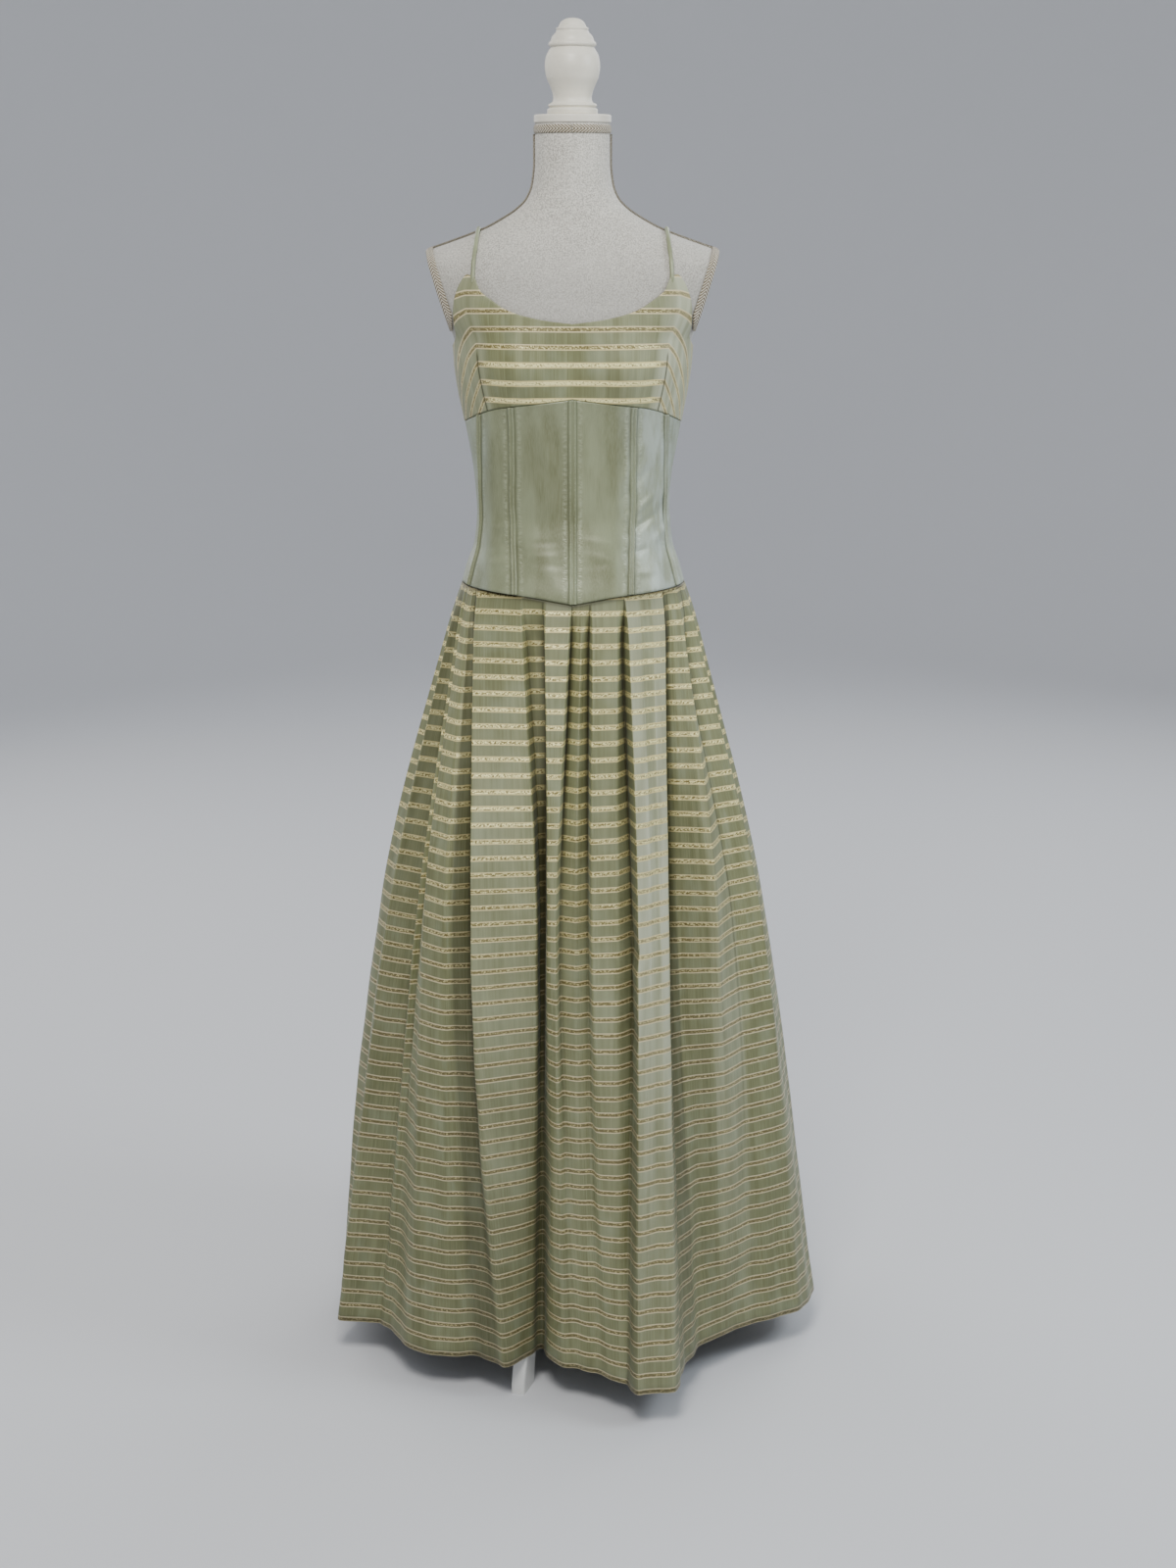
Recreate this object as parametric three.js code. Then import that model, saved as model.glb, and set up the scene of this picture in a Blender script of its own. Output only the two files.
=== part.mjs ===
// A corset dress on a limbless dress form.
// Millimetres, +Z up. The front faces -Y and the wearer's left is +X.
// The origin is on the floor, under the axis of the form's pole.
import * as THREE from 'three';

// Driving sizes
const HEM_Z = 50;
const POLE_RADIUS = 17;
const POLE_LOW_Z = 120;
const CLOTH_GAP = 0.9;
const BODICE_GAP = 1.7;
const CLOTH_WALL = 1.8;
const SKIRT_WALL = 1.7;
const SEAM_GAP = 0.3;
const PLEAT_MID_Z = 600;
const PLATE_LOW_Z = 1334;
const PLATE_HIGH_Z = 1440;
const PLATE_LOW_X = 148;
const PLATE_HIGH_X = 182;
const FORM_BASE_Z = 790;
const NECK_TOP_Z = 1593;
const FOOT_RADIUS = 230;
const LEG_THICKNESS = 19;
const FRONT_LEG_DEG = -17.5;

const BUST = { x: 72, z: 1300, height: 12, reachX: 40, reachUp: 48, reachDown: 34 };
const BRAID = {
  width: 10.5, thickness: 1.6, base: 2, edgeInset: 0.4, innerTopZ: 1444, clothX: 147.5, steps: 26,
};

// The form is a little slimmer where the dress hides it.
const UNDER_DRESS = { inset: 2.2, topZ: 1318, fade: 30 };

const COLOURS = {
  stripedCloth: 0x9a977c,
  plainCloth: 0x95967c,
  jersey: 0xcbc7bd,
  braid: 0xa8987a,
  paintedWood: 0xcdc8ba,
  legPaint: 0xc8c7c2,
  metal: 0x9b8d5e,
};

const TURN = 2 * Math.PI;
const radians = (angle) => angle * Math.PI / 180;
const degrees = (angle) => angle * 180 / Math.PI;
const mix = (a, b, t) => a + (b - a) * t;
const clamp = (value, low, high) => Math.min(high, Math.max(low, value));

// Half width, front depth and back depth of the bare form at each height.
// power 2 is an ellipse, and a higher power is squarer.
const FORM_SECTIONS = [
  { z: 790, width: 132, front: 98, back: 106, power: 2.2 },
  { z: 840, width: 146, front: 108, back: 118, power: 2.2 },
  { z: 900, width: 151, front: 112, back: 123, power: 2.2 },
  { z: 960, width: 150, front: 113, back: 121, power: 2.2 },
  { z: 1015, width: 143, front: 113, back: 115, power: 2.2 },
  { z: 1050, width: 133, front: 104, back: 105, power: 2.2 },
  { z: 1081, width: 122.8, front: 96, back: 96, power: 2.2 },
  { z: 1120, width: 119, front: 88, back: 88, power: 2.2 },
  { z: 1168, width: 122.4, front: 88, back: 88, power: 2.2 },
  { z: 1206, width: 128.9, front: 90, back: 92, power: 2.2 },
  { z: 1236, width: 134.4, front: 93, back: 96, power: 2.2 },
  { z: 1267, width: 140.4, front: 97, back: 99, power: 2.2 },
  { z: 1300, width: 145.2, front: 99, back: 102, power: 2.2 },
  { z: 1334, width: 148.6, front: 99, back: 105, power: 2.1 },
  { z: 1360, width: 170, front: 97, back: 107, power: 2 },
  { z: 1388, width: 190, front: 90, back: 107, power: 2 },
  { z: 1412, width: 205, front: 80, back: 103, power: 2 },
  { z: 1425, width: 208, front: 73, back: 97, power: 2 },
  { z: 1440, width: 182, front: 65, back: 86, power: 2 },
  { z: 1450, width: 154, front: 60, back: 78, power: 2 },
  { z: 1460, width: 126, front: 56, back: 71, power: 2 },
  { z: 1469, width: 104, front: 52, back: 64, power: 2 },
  { z: 1480, width: 84, front: 49, back: 58, power: 2 },
  { z: 1489, width: 70, front: 48, back: 54, power: 2 },
  { z: 1503, width: 56, front: 47, back: 50, power: 2 },
  { z: 1520, width: 49, front: 46, back: 47, power: 2 },
  { z: 1548, width: 46, front: 46, back: 46, power: 2 },
  { z: 1593, width: 46, front: 46, back: 46, power: 2 },
];

// Height of the seams and edges round the body, by the angle from the front.
const NECKLINE = [
  { deg: 0, z: 1356 },
  { deg: 20, z: 1360 },
  { deg: 35, z: 1366 },
  { deg: 44, z: 1373 },
  { deg: 51, z: 1383 },
  { deg: 57, z: 1394 },
  { deg: 61.5, z: 1411 },
  { deg: 64, z: 1413 },
  { deg: 67, z: 1390 },
  { deg: 70, z: 1363 },
  { deg: 75, z: 1342 },
  { deg: 82, z: 1329 },
  { deg: 90, z: 1324 },
  { deg: 115, z: 1308 },
  { deg: 140, z: 1299 },
  { deg: 180, z: 1294 },
];
const EMPIRE_SEAM = [
  { deg: 0, z: 1266 },
  { deg: 47, z: 1255 },
  { deg: 90, z: 1232 },
  { deg: 180, z: 1236 },
];
const WAIST_SEAM = [
  { deg: 0, z: 1015 },
  { deg: 32, z: 1024 },
  { deg: 90, z: 1029 },
  { deg: 180, z: 1024 },
];

// Angles of the corset's seams at three heights, on one side of the front.
const CORSET_SEAMS = [
  { name: 'centre', low: 0, waist: 0, high: 0 },
  { name: 'mid', low: 35.8, waist: 45.6, high: 42 },
  { name: 'outer', low: 70, waist: 74.2, high: 64 },
  { name: 'rear', low: 124, waist: 116, high: 120 },
  { name: 'back', low: 180, waist: 180, high: 180 },
];
const CORSET_HEIGHTS = { low: 1022, waist: 1131, high: 1250 };

// One row for each crease of the skirt's front, from the wearer's right side seam
// to the left one. deg is the place on the waist seam and lift how far it stands
// out there. mid is a point 600 mm up and hem one on the hem: x, and r forward.
const FRONT_CREASES = [
  { deg: -90, lift: 4, midX: -257, midR: 2, hemX: -326, hemR: 2 },
  { deg: -84, lift: 1, midX: -246, midR: 48, hemX: -306, hemR: 60 },
  { deg: -79, lift: 5, midX: -240, midR: 104, hemX: -317, hemR: 122 },
  { deg: -72, lift: 0, midX: -204, midR: 136, hemX: -250, hemR: 140 },
  { deg: -69, lift: 4, midX: -200, midR: 150, hemX: -240, hemR: 147 },
  { deg: -66.5, lift: 0, midX: -196, midR: 152, hemX: -230, hemR: 160 },
  { deg: -64.5, lift: 5, midX: -190, midR: 176, hemX: -186, hemR: 218 },
  { deg: -61.5, lift: 5, midX: -158, midR: 206, hemX: -162, hemR: 222 },
  { deg: -59.5, lift: 4, midX: -145, midR: 200, hemX: -128, hemR: 219 },
  { deg: -57, lift: 0, midX: -120, midR: 211, hemX: -105, hemR: 238 },
  { deg: -55, lift: 6, midX: -115, midR: 236, hemX: -88, hemR: 255 },
  { deg: -32, lift: 5, midX: -50, midR: 213, hemX: -52, hemR: 215 },
  { deg: -29.5, lift: 0, midX: -46, midR: 203, hemX: -46, hemR: 206 },
  { deg: -26, lift: 4, midX: -44, midR: 198, hemX: -42, hemR: 203 },
  { deg: -18.6, lift: 0, midX: -41, midR: 194, hemX: -37, hemR: 206 },
  { deg: -17, lift: 6, midX: -37, midR: 222, hemX: -28, hemR: 233 },
  { deg: -1.5, lift: 5, midX: -16, midR: 226, hemX: -12, hemR: 254 },
  { deg: 1.5, lift: 0, midX: 2, midR: 206, hemX: 4, hemR: 257 },
  { deg: 5.5, lift: 4, midX: 10, midR: 208, hemX: 18, hemR: 262 },
  { deg: 10, lift: 0, midX: 19, midR: 209, hemX: 32, hemR: 269 },
  { deg: 11.5, lift: 5, midX: 27, midR: 223, hemX: 45, hemR: 280 },
  { deg: 27, lift: 3, midX: 56, midR: 219, hemX: 60, hemR: 292 },
  { deg: 32, lift: 0, midX: 78, midR: 206, hemX: 69, hemR: 299 },
  { deg: 34, lift: 6, midX: 82, midR: 232, hemX: 80, hemR: 326 },
  { deg: 40, lift: 5, midX: 95, midR: 221, hemX: 95, hemR: 321 },
  { deg: 44, lift: 1, midX: 103, midR: 211, hemX: 108, hemR: 317 },
  { deg: 47.5, lift: 0, midX: 110, midR: 204, hemX: 119, hemR: 318 },
  { deg: 56, lift: 6, midX: 121, midR: 191, hemX: 131, hemR: 316 },
  { deg: 58.5, lift: 0, midX: 125, midR: 164, hemX: 143, hemR: 252 },
  { deg: 61.5, lift: 2, midX: 141, midR: 160, hemX: 166, hemR: 190 },
  { deg: 68, lift: 5, midX: 184, midR: 162, hemX: 207, hemR: 153 },
  { deg: 73, lift: 0, midX: 211, midR: 121, hemX: 242, hemR: 130 },
  { deg: 79, lift: 5, midX: 243, midR: 86, hemX: 306, hemR: 92 },
  { deg: 84.5, lift: 0, midX: 249, midR: 44, hemX: 326, hemR: 54 },
];

// The back repeats one ridge and one valley, with a slow unevenness.
const BACK_FOLDS = 12;
const BACK_RIDGE = { lift: 5, mid: 248, hem: 322 };
const BACK_VALLEY = { lift: 0, mid: 224, hem: 286 };
const BACK_UNEVEN = { degrees: 2, turn: 1.6, mid: 6, hem: 9 };

// Share of the skirt's fall at each ring of points, from the seam to the hem.
const SKIRT_FALLS = [0, 0.03, 0.08, 0.16, 0.27, 0.4, 0.54, 0.68, 0.8, 0.91, 1];
const CREASE_ROUNDING = 0.3;
const CREASE_ROUNDING_LIMIT = 9;

// A smooth curve through points, which rises and falls only where they do.
function smoothCurve(places, values) {
  const last = places.length - 1;
  const spans = places.slice(1).map((place, i) => place - places[i]);
  const rates = spans.map((span, i) => (values[i + 1] - values[i]) / span);
  const slopes = values.map((_, i) => {
    if (i === 0) return rates[0];
    if (i === last) return rates[last - 1];
    if (rates[i - 1] * rates[i] <= 0) return 0;
    const before = 2 * spans[i] + spans[i - 1];
    const after = spans[i] + 2 * spans[i - 1];
    return (before + after) / (before / rates[i - 1] + after / rates[i]);
  });
  return (place) => {
    const p = clamp(place, places[0], places[last]);
    let i = 0;
    while (i < last - 1 && p > places[i + 1]) i += 1;
    const u = (p - places[i]) / spans[i];
    const blend = u * u * (3 - 2 * u);
    const rise = u * (1 - u) * (1 - u) * spans[i] * slopes[i];
    const fall = u * u * (u - 1) * spans[i] * slopes[i + 1];
    return mix(values[i], values[i + 1], blend) + rise + fall;
  };
}

const columnCurve = (rows, from, to) => smoothCurve(rows.map((r) => r[from]), rows.map((r) => r[to]));

const formWidth = columnCurve(FORM_SECTIONS, 'z', 'width');
const formFront = columnCurve(FORM_SECTIONS, 'z', 'front');
const formBack = columnCurve(FORM_SECTIONS, 'z', 'back');
const formPower = columnCurve(FORM_SECTIONS, 'z', 'power');
const necklineAt = columnCurve(NECKLINE, 'deg', 'z');
const empireAt = columnCurve(EMPIRE_SEAM, 'deg', 'z');
const waistAt = columnCurve(WAIST_SEAM, 'deg', 'z');
const foldAngle = (deg) => Math.abs(((deg + 180) % 360 + 360) % 360 - 180);

// The flat cut of each arm leans outwards as it rises.
function plateX(z) {
  return mix(PLATE_LOW_X, PLATE_HIGH_X, (z - PLATE_LOW_Z) / (PLATE_HIGH_Z - PLATE_LOW_Z));
}

// The form's surface as if the arm's flat cut weren't there.
function uncutPoint(deg, z) {
  const side = Math.sin(radians(deg));
  const ahead = Math.cos(radians(deg));
  const depth = ahead > 0 ? formFront(z) : formBack(z);
  const power = formPower(z);
  const sum = (Math.abs(side) / formWidth(z)) ** power + (Math.abs(ahead) / depth) ** power;
  const radius = sum ** (-1 / power);
  const x = radius * side;
  let y = -radius * ahead;
  if (ahead > 0) {
    const across = (Math.abs(x) - BUST.x) / BUST.reachX;
    const up = (z - BUST.z) / (z > BUST.z ? BUST.reachUp : BUST.reachDown);
    y -= BUST.height * Math.exp(-across * across - up * up) * clamp(3 * ahead, 0, 1);
  }
  return new THREE.Vector3(x, y, z);
}

// A point of the form's surface, deg round from the front at height z.
function formPoint(deg, z) {
  const point = uncutPoint(deg, z);
  if (z >= PLATE_LOW_Z && z <= PLATE_HIGH_Z) point.x = clamp(point.x, -plateX(z), plateX(z));
  return point;
}

function normalOf(surface, deg, z) {
  const around = surface(deg + 0.4, z).sub(surface(deg - 0.4, z));
  const up = surface(deg, z + 0.8).sub(surface(deg, z - 0.8));
  return around.cross(up).normalize();
}

// 1 where the dress hides the form, falling to 0 above the underarm.
const underDress = (z) => clamp((UNDER_DRESS.topZ - z) / UNDER_DRESS.fade, 0, 1);

const formNormal = (deg, z) => normalOf(formPoint, deg, z);
const overForm = (deg, z, out) => formPoint(deg, z).addScaledVector(formNormal(deg, z), out);

// Depth of the section at height z where its half width reaches x.
function sectionDepth(x, z, depth) {
  const share = clamp(1 - (x / formWidth(z)) ** formPower(z), 0, 1);
  return depth(z) * share ** (1 / formPower(z));
}

function material(colour, roughness = 0.8, metalness = 0) {
  return new THREE.MeshStandardMaterial({ color: colour, roughness, metalness });
}

const LOOKS = {
  striped: material(COLOURS.stripedCloth, 0.6),
  plain: material(COLOURS.plainCloth, 0.55),
  jersey: material(COLOURS.jersey, 0.95),
  braid: material(COLOURS.braid, 0.85),
  wood: material(COLOURS.paintedWood, 0.5),
  leg: material(COLOURS.legPaint, 0.6),
  metal: material(COLOURS.metal, 0.35, 0.9),
};

const group = new THREE.Group();
function addPiece(name, geometry, look) {
  const mesh = new THREE.Mesh(geometry, look);
  mesh.name = name;
  group.add(mesh);
  return mesh;
}

function indexedGeometry(points, faces) {
  const geometry = new THREE.BufferGeometry();
  const numbers = points.flatMap((p) => [p.x, p.y, p.z]);
  geometry.setAttribute('position', new THREE.Float32BufferAttribute(numbers, 3));
  geometry.setIndex(faces);
  geometry.computeVertexNormals();
  return geometry;
}

// A closed wall between two grids of points, which are rows of columns.
// Rows go up and columns go round to the wearer's left, seen from outside.
function wallGeometry(outer, inner) {
  const rows = outer.length;
  const columns = outer[0].length;
  const offset = rows * columns;
  const faces = [];
  const quad = (a, b, c, d) => faces.push(a, b, c, a, c, d);
  const at = (i, j) => i * columns + j;
  for (let i = 0; i < rows - 1; i += 1) {
    for (let j = 0; j < columns - 1; j += 1) {
      quad(at(i, j), at(i, j + 1), at(i + 1, j + 1), at(i + 1, j));
      quad(offset + at(i, j), offset + at(i + 1, j), offset + at(i + 1, j + 1), offset + at(i, j + 1));
    }
  }
  for (let j = 0; j < columns - 1; j += 1) {
    quad(at(0, j), offset + at(0, j), offset + at(0, j + 1), at(0, j + 1));
    const top = rows - 1;
    quad(at(top, j), at(top, j + 1), offset + at(top, j + 1), offset + at(top, j));
  }
  for (let i = 0; i < rows - 1; i += 1) {
    quad(at(i, 0), at(i + 1, 0), offset + at(i + 1, 0), offset + at(i, 0));
    const end = columns - 1;
    quad(at(i, end), offset + at(i, end), offset + at(i + 1, end), at(i + 1, end));
  }
  return indexedGeometry([...outer.flat(), ...inner.flat()], faces);
}

// A closed solid through rings of points, each ring going to the wearer's left.
function loftGeometry(rings) {
  const count = rings[0].length;
  const faces = [];
  const points = rings.flat();
  for (let i = 0; i < rings.length - 1; i += 1) {
    for (let j = 0; j < count; j += 1) {
      const next = (j + 1) % count;
      faces.push(i * count + j, i * count + next, (i + 1) * count + next);
      faces.push(i * count + j, (i + 1) * count + next, (i + 1) * count + j);
    }
  }
  const middle = (ring) => ring.reduce((sum, p) => sum.add(p), new THREE.Vector3()).divideScalar(count);
  const low = points.length;
  points.push(middle(rings[0]), middle(rings[rings.length - 1]));
  const last = (rings.length - 1) * count;
  for (let j = 0; j < count; j += 1) {
    const next = (j + 1) % count;
    faces.push(low, next, j);
    faces.push(low + 1, last + j, last + next);
  }
  return indexedGeometry(points, faces);
}

const spread = (from, to, steps) => Array.from({ length: steps + 1 }, (_, i) => mix(from, to, i / steps));

// A piece of cloth on the form: its columns are angles, and low and high give
// the height of its two edges at an angle. bend moves a column with height.
function clothPiece(name, columns, rows, low, high, look, gap = CLOTH_GAP, bend = (deg) => deg) {
  const grid = (out) => spread(0, 1, rows).map((share) => columns.map((column) => {
    const deg = bend(column, share);
    const z = mix(low(foldAngle(deg)), high(foldAngle(deg)), share);
    return overForm(deg, z, out);
  }));
  return addPiece(name, wallGeometry(grid(gap + CLOTH_WALL), grid(gap)), look);
}

// The dress form

function torsoColumns(z) {
  const onPlate = z > PLATE_LOW_Z && z < PLATE_HIGH_Z;
  const edge = (depth) => (onPlate
    ? degrees(Math.atan2(plateX(z), sectionDepth(plateX(z), z, depth)))
    : 78);
  const front = edge(formFront);
  const back = 180 - edge(formBack);
  return [
    ...spread(-front, front, 16).slice(0, -1),
    ...spread(front, back, 4).slice(0, -1),
    ...spread(back, 360 - back, 16).slice(0, -1),
    ...spread(360 - back, 360 - front, 4).slice(0, -1),
  ];
}

function buildTorso() {
  const heights = [
    FORM_BASE_Z, 800, 840, 900, 960, 1015, 1050, 1081, 1120, 1168, 1206, 1236, 1267, 1288, 1310,
    PLATE_LOW_Z - 1, 1345, 1358, 1372, 1386, 1400, 1412, 1426, 1435, PLATE_HIGH_Z, 1443, 1447, 1452,
    1460, 1469, 1480, 1489, 1503, 1520, 1548, NECK_TOP_Z,
  ];
  const rings = heights.map((z) => torsoColumns(z).map((deg) => {
    const point = overForm(deg, z, -UNDER_DRESS.inset * underDress(z));
    if (z === FORM_BASE_Z) point.multiply(new THREE.Vector3(0.93, 0.93, 1));
    return point;
  }));
  addPiece('form_torso', loftGeometry(rings), LOOKS.jersey);
}

// A braid along the edge of the arm's flat cut, from the front over the shoulder
// tip to the back. It narrows where the dress comes close.
function buildArmBraid(name, side) {
  const lowEdge = PLATE_LOW_Z + 12;
  const line = (inset, topZ) => spread(-180, 180, BRAID.steps).map((turn) => {
    const z = mix(lowEdge, topZ, (1 + Math.cos(radians(turn))) / 2);
    const x = plateX(z) - Math.min(inset, Math.max(0, plateX(z) - BRAID.clothX));
    const y = turn < 0 ? -sectionDepth(x, z, formFront) : sectionDepth(x, z, formBack);
    return { deg: degrees(Math.atan2(x, -y)), point: new THREE.Vector3(x, y, z) };
  });
  const raise = (row, out) => row.map(({ deg, point }) => {
    const raised = point.clone().addScaledVector(normalOf(uncutPoint, deg, point.z), out);
    raised.x *= side;
    return raised;
  });
  const outerLine = line(BRAID.edgeInset, PLATE_HIGH_Z - 1);
  const innerLine = line(BRAID.width, BRAID.innerTopZ);
  const lines = side > 0 ? [outerLine, innerLine] : [innerLine, outerLine];
  const grid = (out) => lines.map((row) => raise(row, out));
  addPiece(name, wallGeometry(grid(BRAID.base + BRAID.thickness), grid(BRAID.base)), LOOKS.braid);
}

function latheOnAxis(name, profile, look, segments = 28) {
  const points = profile.map(([radius, z]) => new THREE.Vector2(radius, z));
  const mesh = addPiece(name, new THREE.LatheGeometry(points, segments), look);
  mesh.rotation.x = Math.PI / 2;
  return mesh;
}

function buildNeck() {
  const braidInner = 46.35;
  const braidOuter = 47.9;
  const braidLow = NECK_TOP_Z - 12;
  const braidHigh = NECK_TOP_Z - 2;
  latheOnAxis('neck_braid', [
    [braidInner, braidLow], [braidOuter, braidLow], [braidOuter, braidHigh], [braidInner, braidHigh],
    [braidInner, braidLow],
  ], LOOKS.braid, 32);
  const capLow = NECK_TOP_Z + 0.3;
  const capHigh = capLow + 10;
  latheOnAxis('neck_cap', [
    [0, capLow], [46.4, capLow], [47.4, capLow + 2], [47.4, capHigh - 2], [46, capHigh], [0, capHigh],
  ], LOOKS.wood, 32);
  const foot = capHigh + 0.3;
  latheOnAxis('finial', [
    [0, foot], [31, foot], [31, 1609], [28, 1611], [30, 1614], [26.5, 1617], [24, 1620], [23.6, 1626],
    [27, 1636], [32, 1648], [33.8, 1660], [32.4, 1671], [28, 1680], [26.4, 1683], [29.2, 1686], [27, 1689],
    [24, 1696], [19.5, 1701], [20, 1704], [17.5, 1706], [14, 1712], [7, 1716], [0, 1717],
  ], LOOKS.wood, 24);
}

// The stand: a pole under the torso, a collar and three flat legs

function legOutline() {
  const outline = new THREE.Shape();
  const footIn = FOOT_RADIUS - 22;
  const footOut = FOOT_RADIUS + 10;
  outline.moveTo(POLE_RADIUS + 9, 330);
  outline.lineTo(POLE_RADIUS + 9, 190);
  outline.bezierCurveTo(110, 175, footIn - 26, 110, footIn - 12, 12);
  outline.lineTo(footIn - 12, 0);
  outline.lineTo(footOut, 0);
  outline.lineTo(footOut, 12);
  outline.bezierCurveTo(footOut - 24, 110, 150, 215, POLE_RADIUS + 30, 318);
  outline.lineTo(POLE_RADIUS + 9, 330);
  return outline;
}

function buildStand() {
  const poleTop = FORM_BASE_Z - SEAM_GAP;
  const pole = new THREE.CylinderGeometry(POLE_RADIUS, POLE_RADIUS, poleTop - POLE_LOW_Z, 20);
  const poleMesh = addPiece('pole', pole, LOOKS.leg);
  poleMesh.rotation.x = Math.PI / 2;
  poleMesh.position.z = (poleTop + POLE_LOW_Z) / 2;
  const collarIn = POLE_RADIUS + SEAM_GAP;
  const collarOut = POLE_RADIUS + 8.6;
  latheOnAxis('collar', [
    [collarIn, 150], [collarOut, 150], [collarOut, 350], [collarOut - 3, 356], [collarIn, 356],
    [collarIn, 150],
  ], LOOKS.leg, 20);
  const legs = [['leg_front', 0], ['leg_side', 120], ['leg_rear', 240]];
  for (const [name, turn] of legs) {
    const geometry = new THREE.ExtrudeGeometry(legOutline(), {
      depth: LEG_THICKNESS, bevelEnabled: false, curveSegments: 9,
    });
    geometry.translate(0, 0, -LEG_THICKNESS / 2);
    const leg = addPiece(name, geometry, LOOKS.leg);
    leg.rotation.order = 'ZXY';
    leg.rotation.x = Math.PI / 2;
    leg.rotation.z = radians(FRONT_LEG_DEG + turn - 90);
  }
}

// The bodice

// The back edges stop this far from the middle, beside the zip.
const ZIP_EDGE_DEG = 1.9;

// Half a seam's gap as an angle at height z.
const seamDegrees = (z) => degrees(SEAM_GAP / 2 / Math.min(formWidth(z), formBack(z)));

function buildBodice() {
  const edges = NECKLINE.map((row) => row.deg);
  const between = [10, 28, 48, 59.5, 65.5, 68.5, 72.5, 78.5, 86];
  const half = [...edges.filter((deg) => deg < 90), ...between].sort((a, b) => a - b);
  const inset = seamDegrees(1280);
  const right = half.filter((deg) => deg > 0);
  const front = [-90 + inset, ...right.map((deg) => -deg).reverse(), 0, ...right, 90 - inset];
  const low = (deg) => empireAt(deg) + SEAM_GAP;
  clothPiece('bodice_front', front, 7, low, necklineAt, LOOKS.striped, BODICE_GAP);
  const backColumns = spread(90 + inset, 180 - ZIP_EDGE_DEG, 11);
  clothPiece('bodice_back_left', backColumns, 4, low, necklineAt, LOOKS.striped, BODICE_GAP);
  const mirrored = backColumns.map((deg) => 360 - deg).reverse();
  clothPiece('bodice_back_right', mirrored, 4, low, necklineAt, LOOKS.striped, BODICE_GAP);
}

// The corset

const corsetSeamAt = CORSET_SEAMS.map((seam) => smoothCurve(
  [CORSET_HEIGHTS.low, CORSET_HEIGHTS.waist, CORSET_HEIGHTS.high], [seam.low, seam.waist, seam.high],
));
const corsetHeight = (share) => mix(CORSET_HEIGHTS.low, CORSET_HEIGHTS.high, share);

function buildCorset() {
  const panels = [['front', 5], ['mid', 4], ['side', 7], ['back', 8]];
  const low = (deg) => waistAt(deg) + SEAM_GAP / 2;
  const high = (deg) => empireAt(deg) - SEAM_GAP / 2;
  const inset = seamDegrees(1120);
  panels.forEach(([name, steps], k) => {
    const endInset = name === 'back' ? ZIP_EDGE_DEG : inset;
    const bend = (side) => (column, share) => {
      const z = corsetHeight(share);
      const across = side > 0 ? column : 1 - column;
      const from = corsetSeamAt[k](z) + inset;
      const to = corsetSeamAt[k + 1](z) - endInset;
      return side * mix(from, to, across);
    };
    clothPiece(`corset_${name}_left`, spread(0, 1, steps), 9, low, high, LOOKS.plain, CLOTH_GAP, bend(1));
    clothPiece(`corset_${name}_right`, spread(0, 1, steps), 9, low, high, LOOKS.plain, CLOTH_GAP, bend(-1));
  });
}

// A stitched channel lies over each corset seam.
function buildChannel(name, k, side, width) {
  const base = CLOTH_GAP + CLOTH_WALL + 0.5;
  const rows = spread(0, 1, 9);
  const strip = (out) => rows.map((share) => {
    const height = corsetHeight(share);
    const middle = side * corsetSeamAt[k](height);
    const z = mix(waistAt(foldAngle(middle)) + 1, empireAt(foldAngle(middle)) - 2, share);
    const centre = formPoint(middle, z);
    const half = degrees(width / 2 / Math.hypot(centre.x, centre.y));
    return [-half, half].map((shift) => overForm(middle + shift, z, out));
  });
  addPiece(name, wallGeometry(strip(base + 0.9), strip(base)), LOOKS.plain);
}

function buildChannels() {
  buildChannel('bone_channel_centre', 0, 1, 11);
  for (const [k, place] of [[1, 'mid'], [2, 'outer'], [3, 'rear']]) {
    buildChannel(`bone_channel_${place}_left`, k, 1, 8.5);
    buildChannel(`bone_channel_${place}_right`, k, -1, 8.5);
  }
}

// The skirt

// The back's creases: a ridge and a valley for each fold, uneven by slow waves.
function backCreases() {
  const rows = [];
  const step = 180 / (2 * BACK_FOLDS);
  for (let k = 0; k < 2 * BACK_FOLDS; k += 1) {
    const kind = k % 2 === 0 ? BACK_RIDGE : BACK_VALLEY;
    const deg = 90 + k * step + BACK_UNEVEN.degrees * Math.sin(2.3 * k);
    const mid = kind.mid + BACK_UNEVEN.mid * Math.sin(1.7 * k + 0.6);
    const hem = kind.hem + BACK_UNEVEN.hem * Math.sin(1.1 * k + 2);
    const place = 90 + k * step + (k === 0 ? 0 : BACK_UNEVEN.turn * Math.sin(1.9 * k + 1));
    rows.push({
      deg: k === 0 ? 90 : deg,
      lift: kind.lift,
      midX: mid * Math.sin(radians(place)),
      midR: mid * Math.cos(radians(place)),
      hemX: hem * Math.sin(radians(place)),
      hemR: hem * Math.cos(radians(place)),
    });
  }
  return rows;
}

const PLEAT_MID_FALL = (WAIST_SEAM[0].z - PLEAT_MID_Z) / (WAIST_SEAM[0].z - HEM_Z);

// A crease as a curve from the waist seam to the hem.
function creaseCurve({ deg, lift, midX, midR, hemX, hemR }) {
  const seam = waistAt(foldAngle(deg)) - SEAM_GAP / 2;
  const top = overForm(deg, seam, CLOTH_GAP + CLOTH_WALL + lift);
  const falls = [0, PLEAT_MID_FALL, 1];
  const x = smoothCurve(falls, [top.x, midX, hemX]);
  const y = smoothCurve(falls, [top.y, -midR, -hemR]);
  return (fall) => new THREE.Vector3(x(fall), y(fall), mix(seam, HEM_Z, fall));
}

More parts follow.
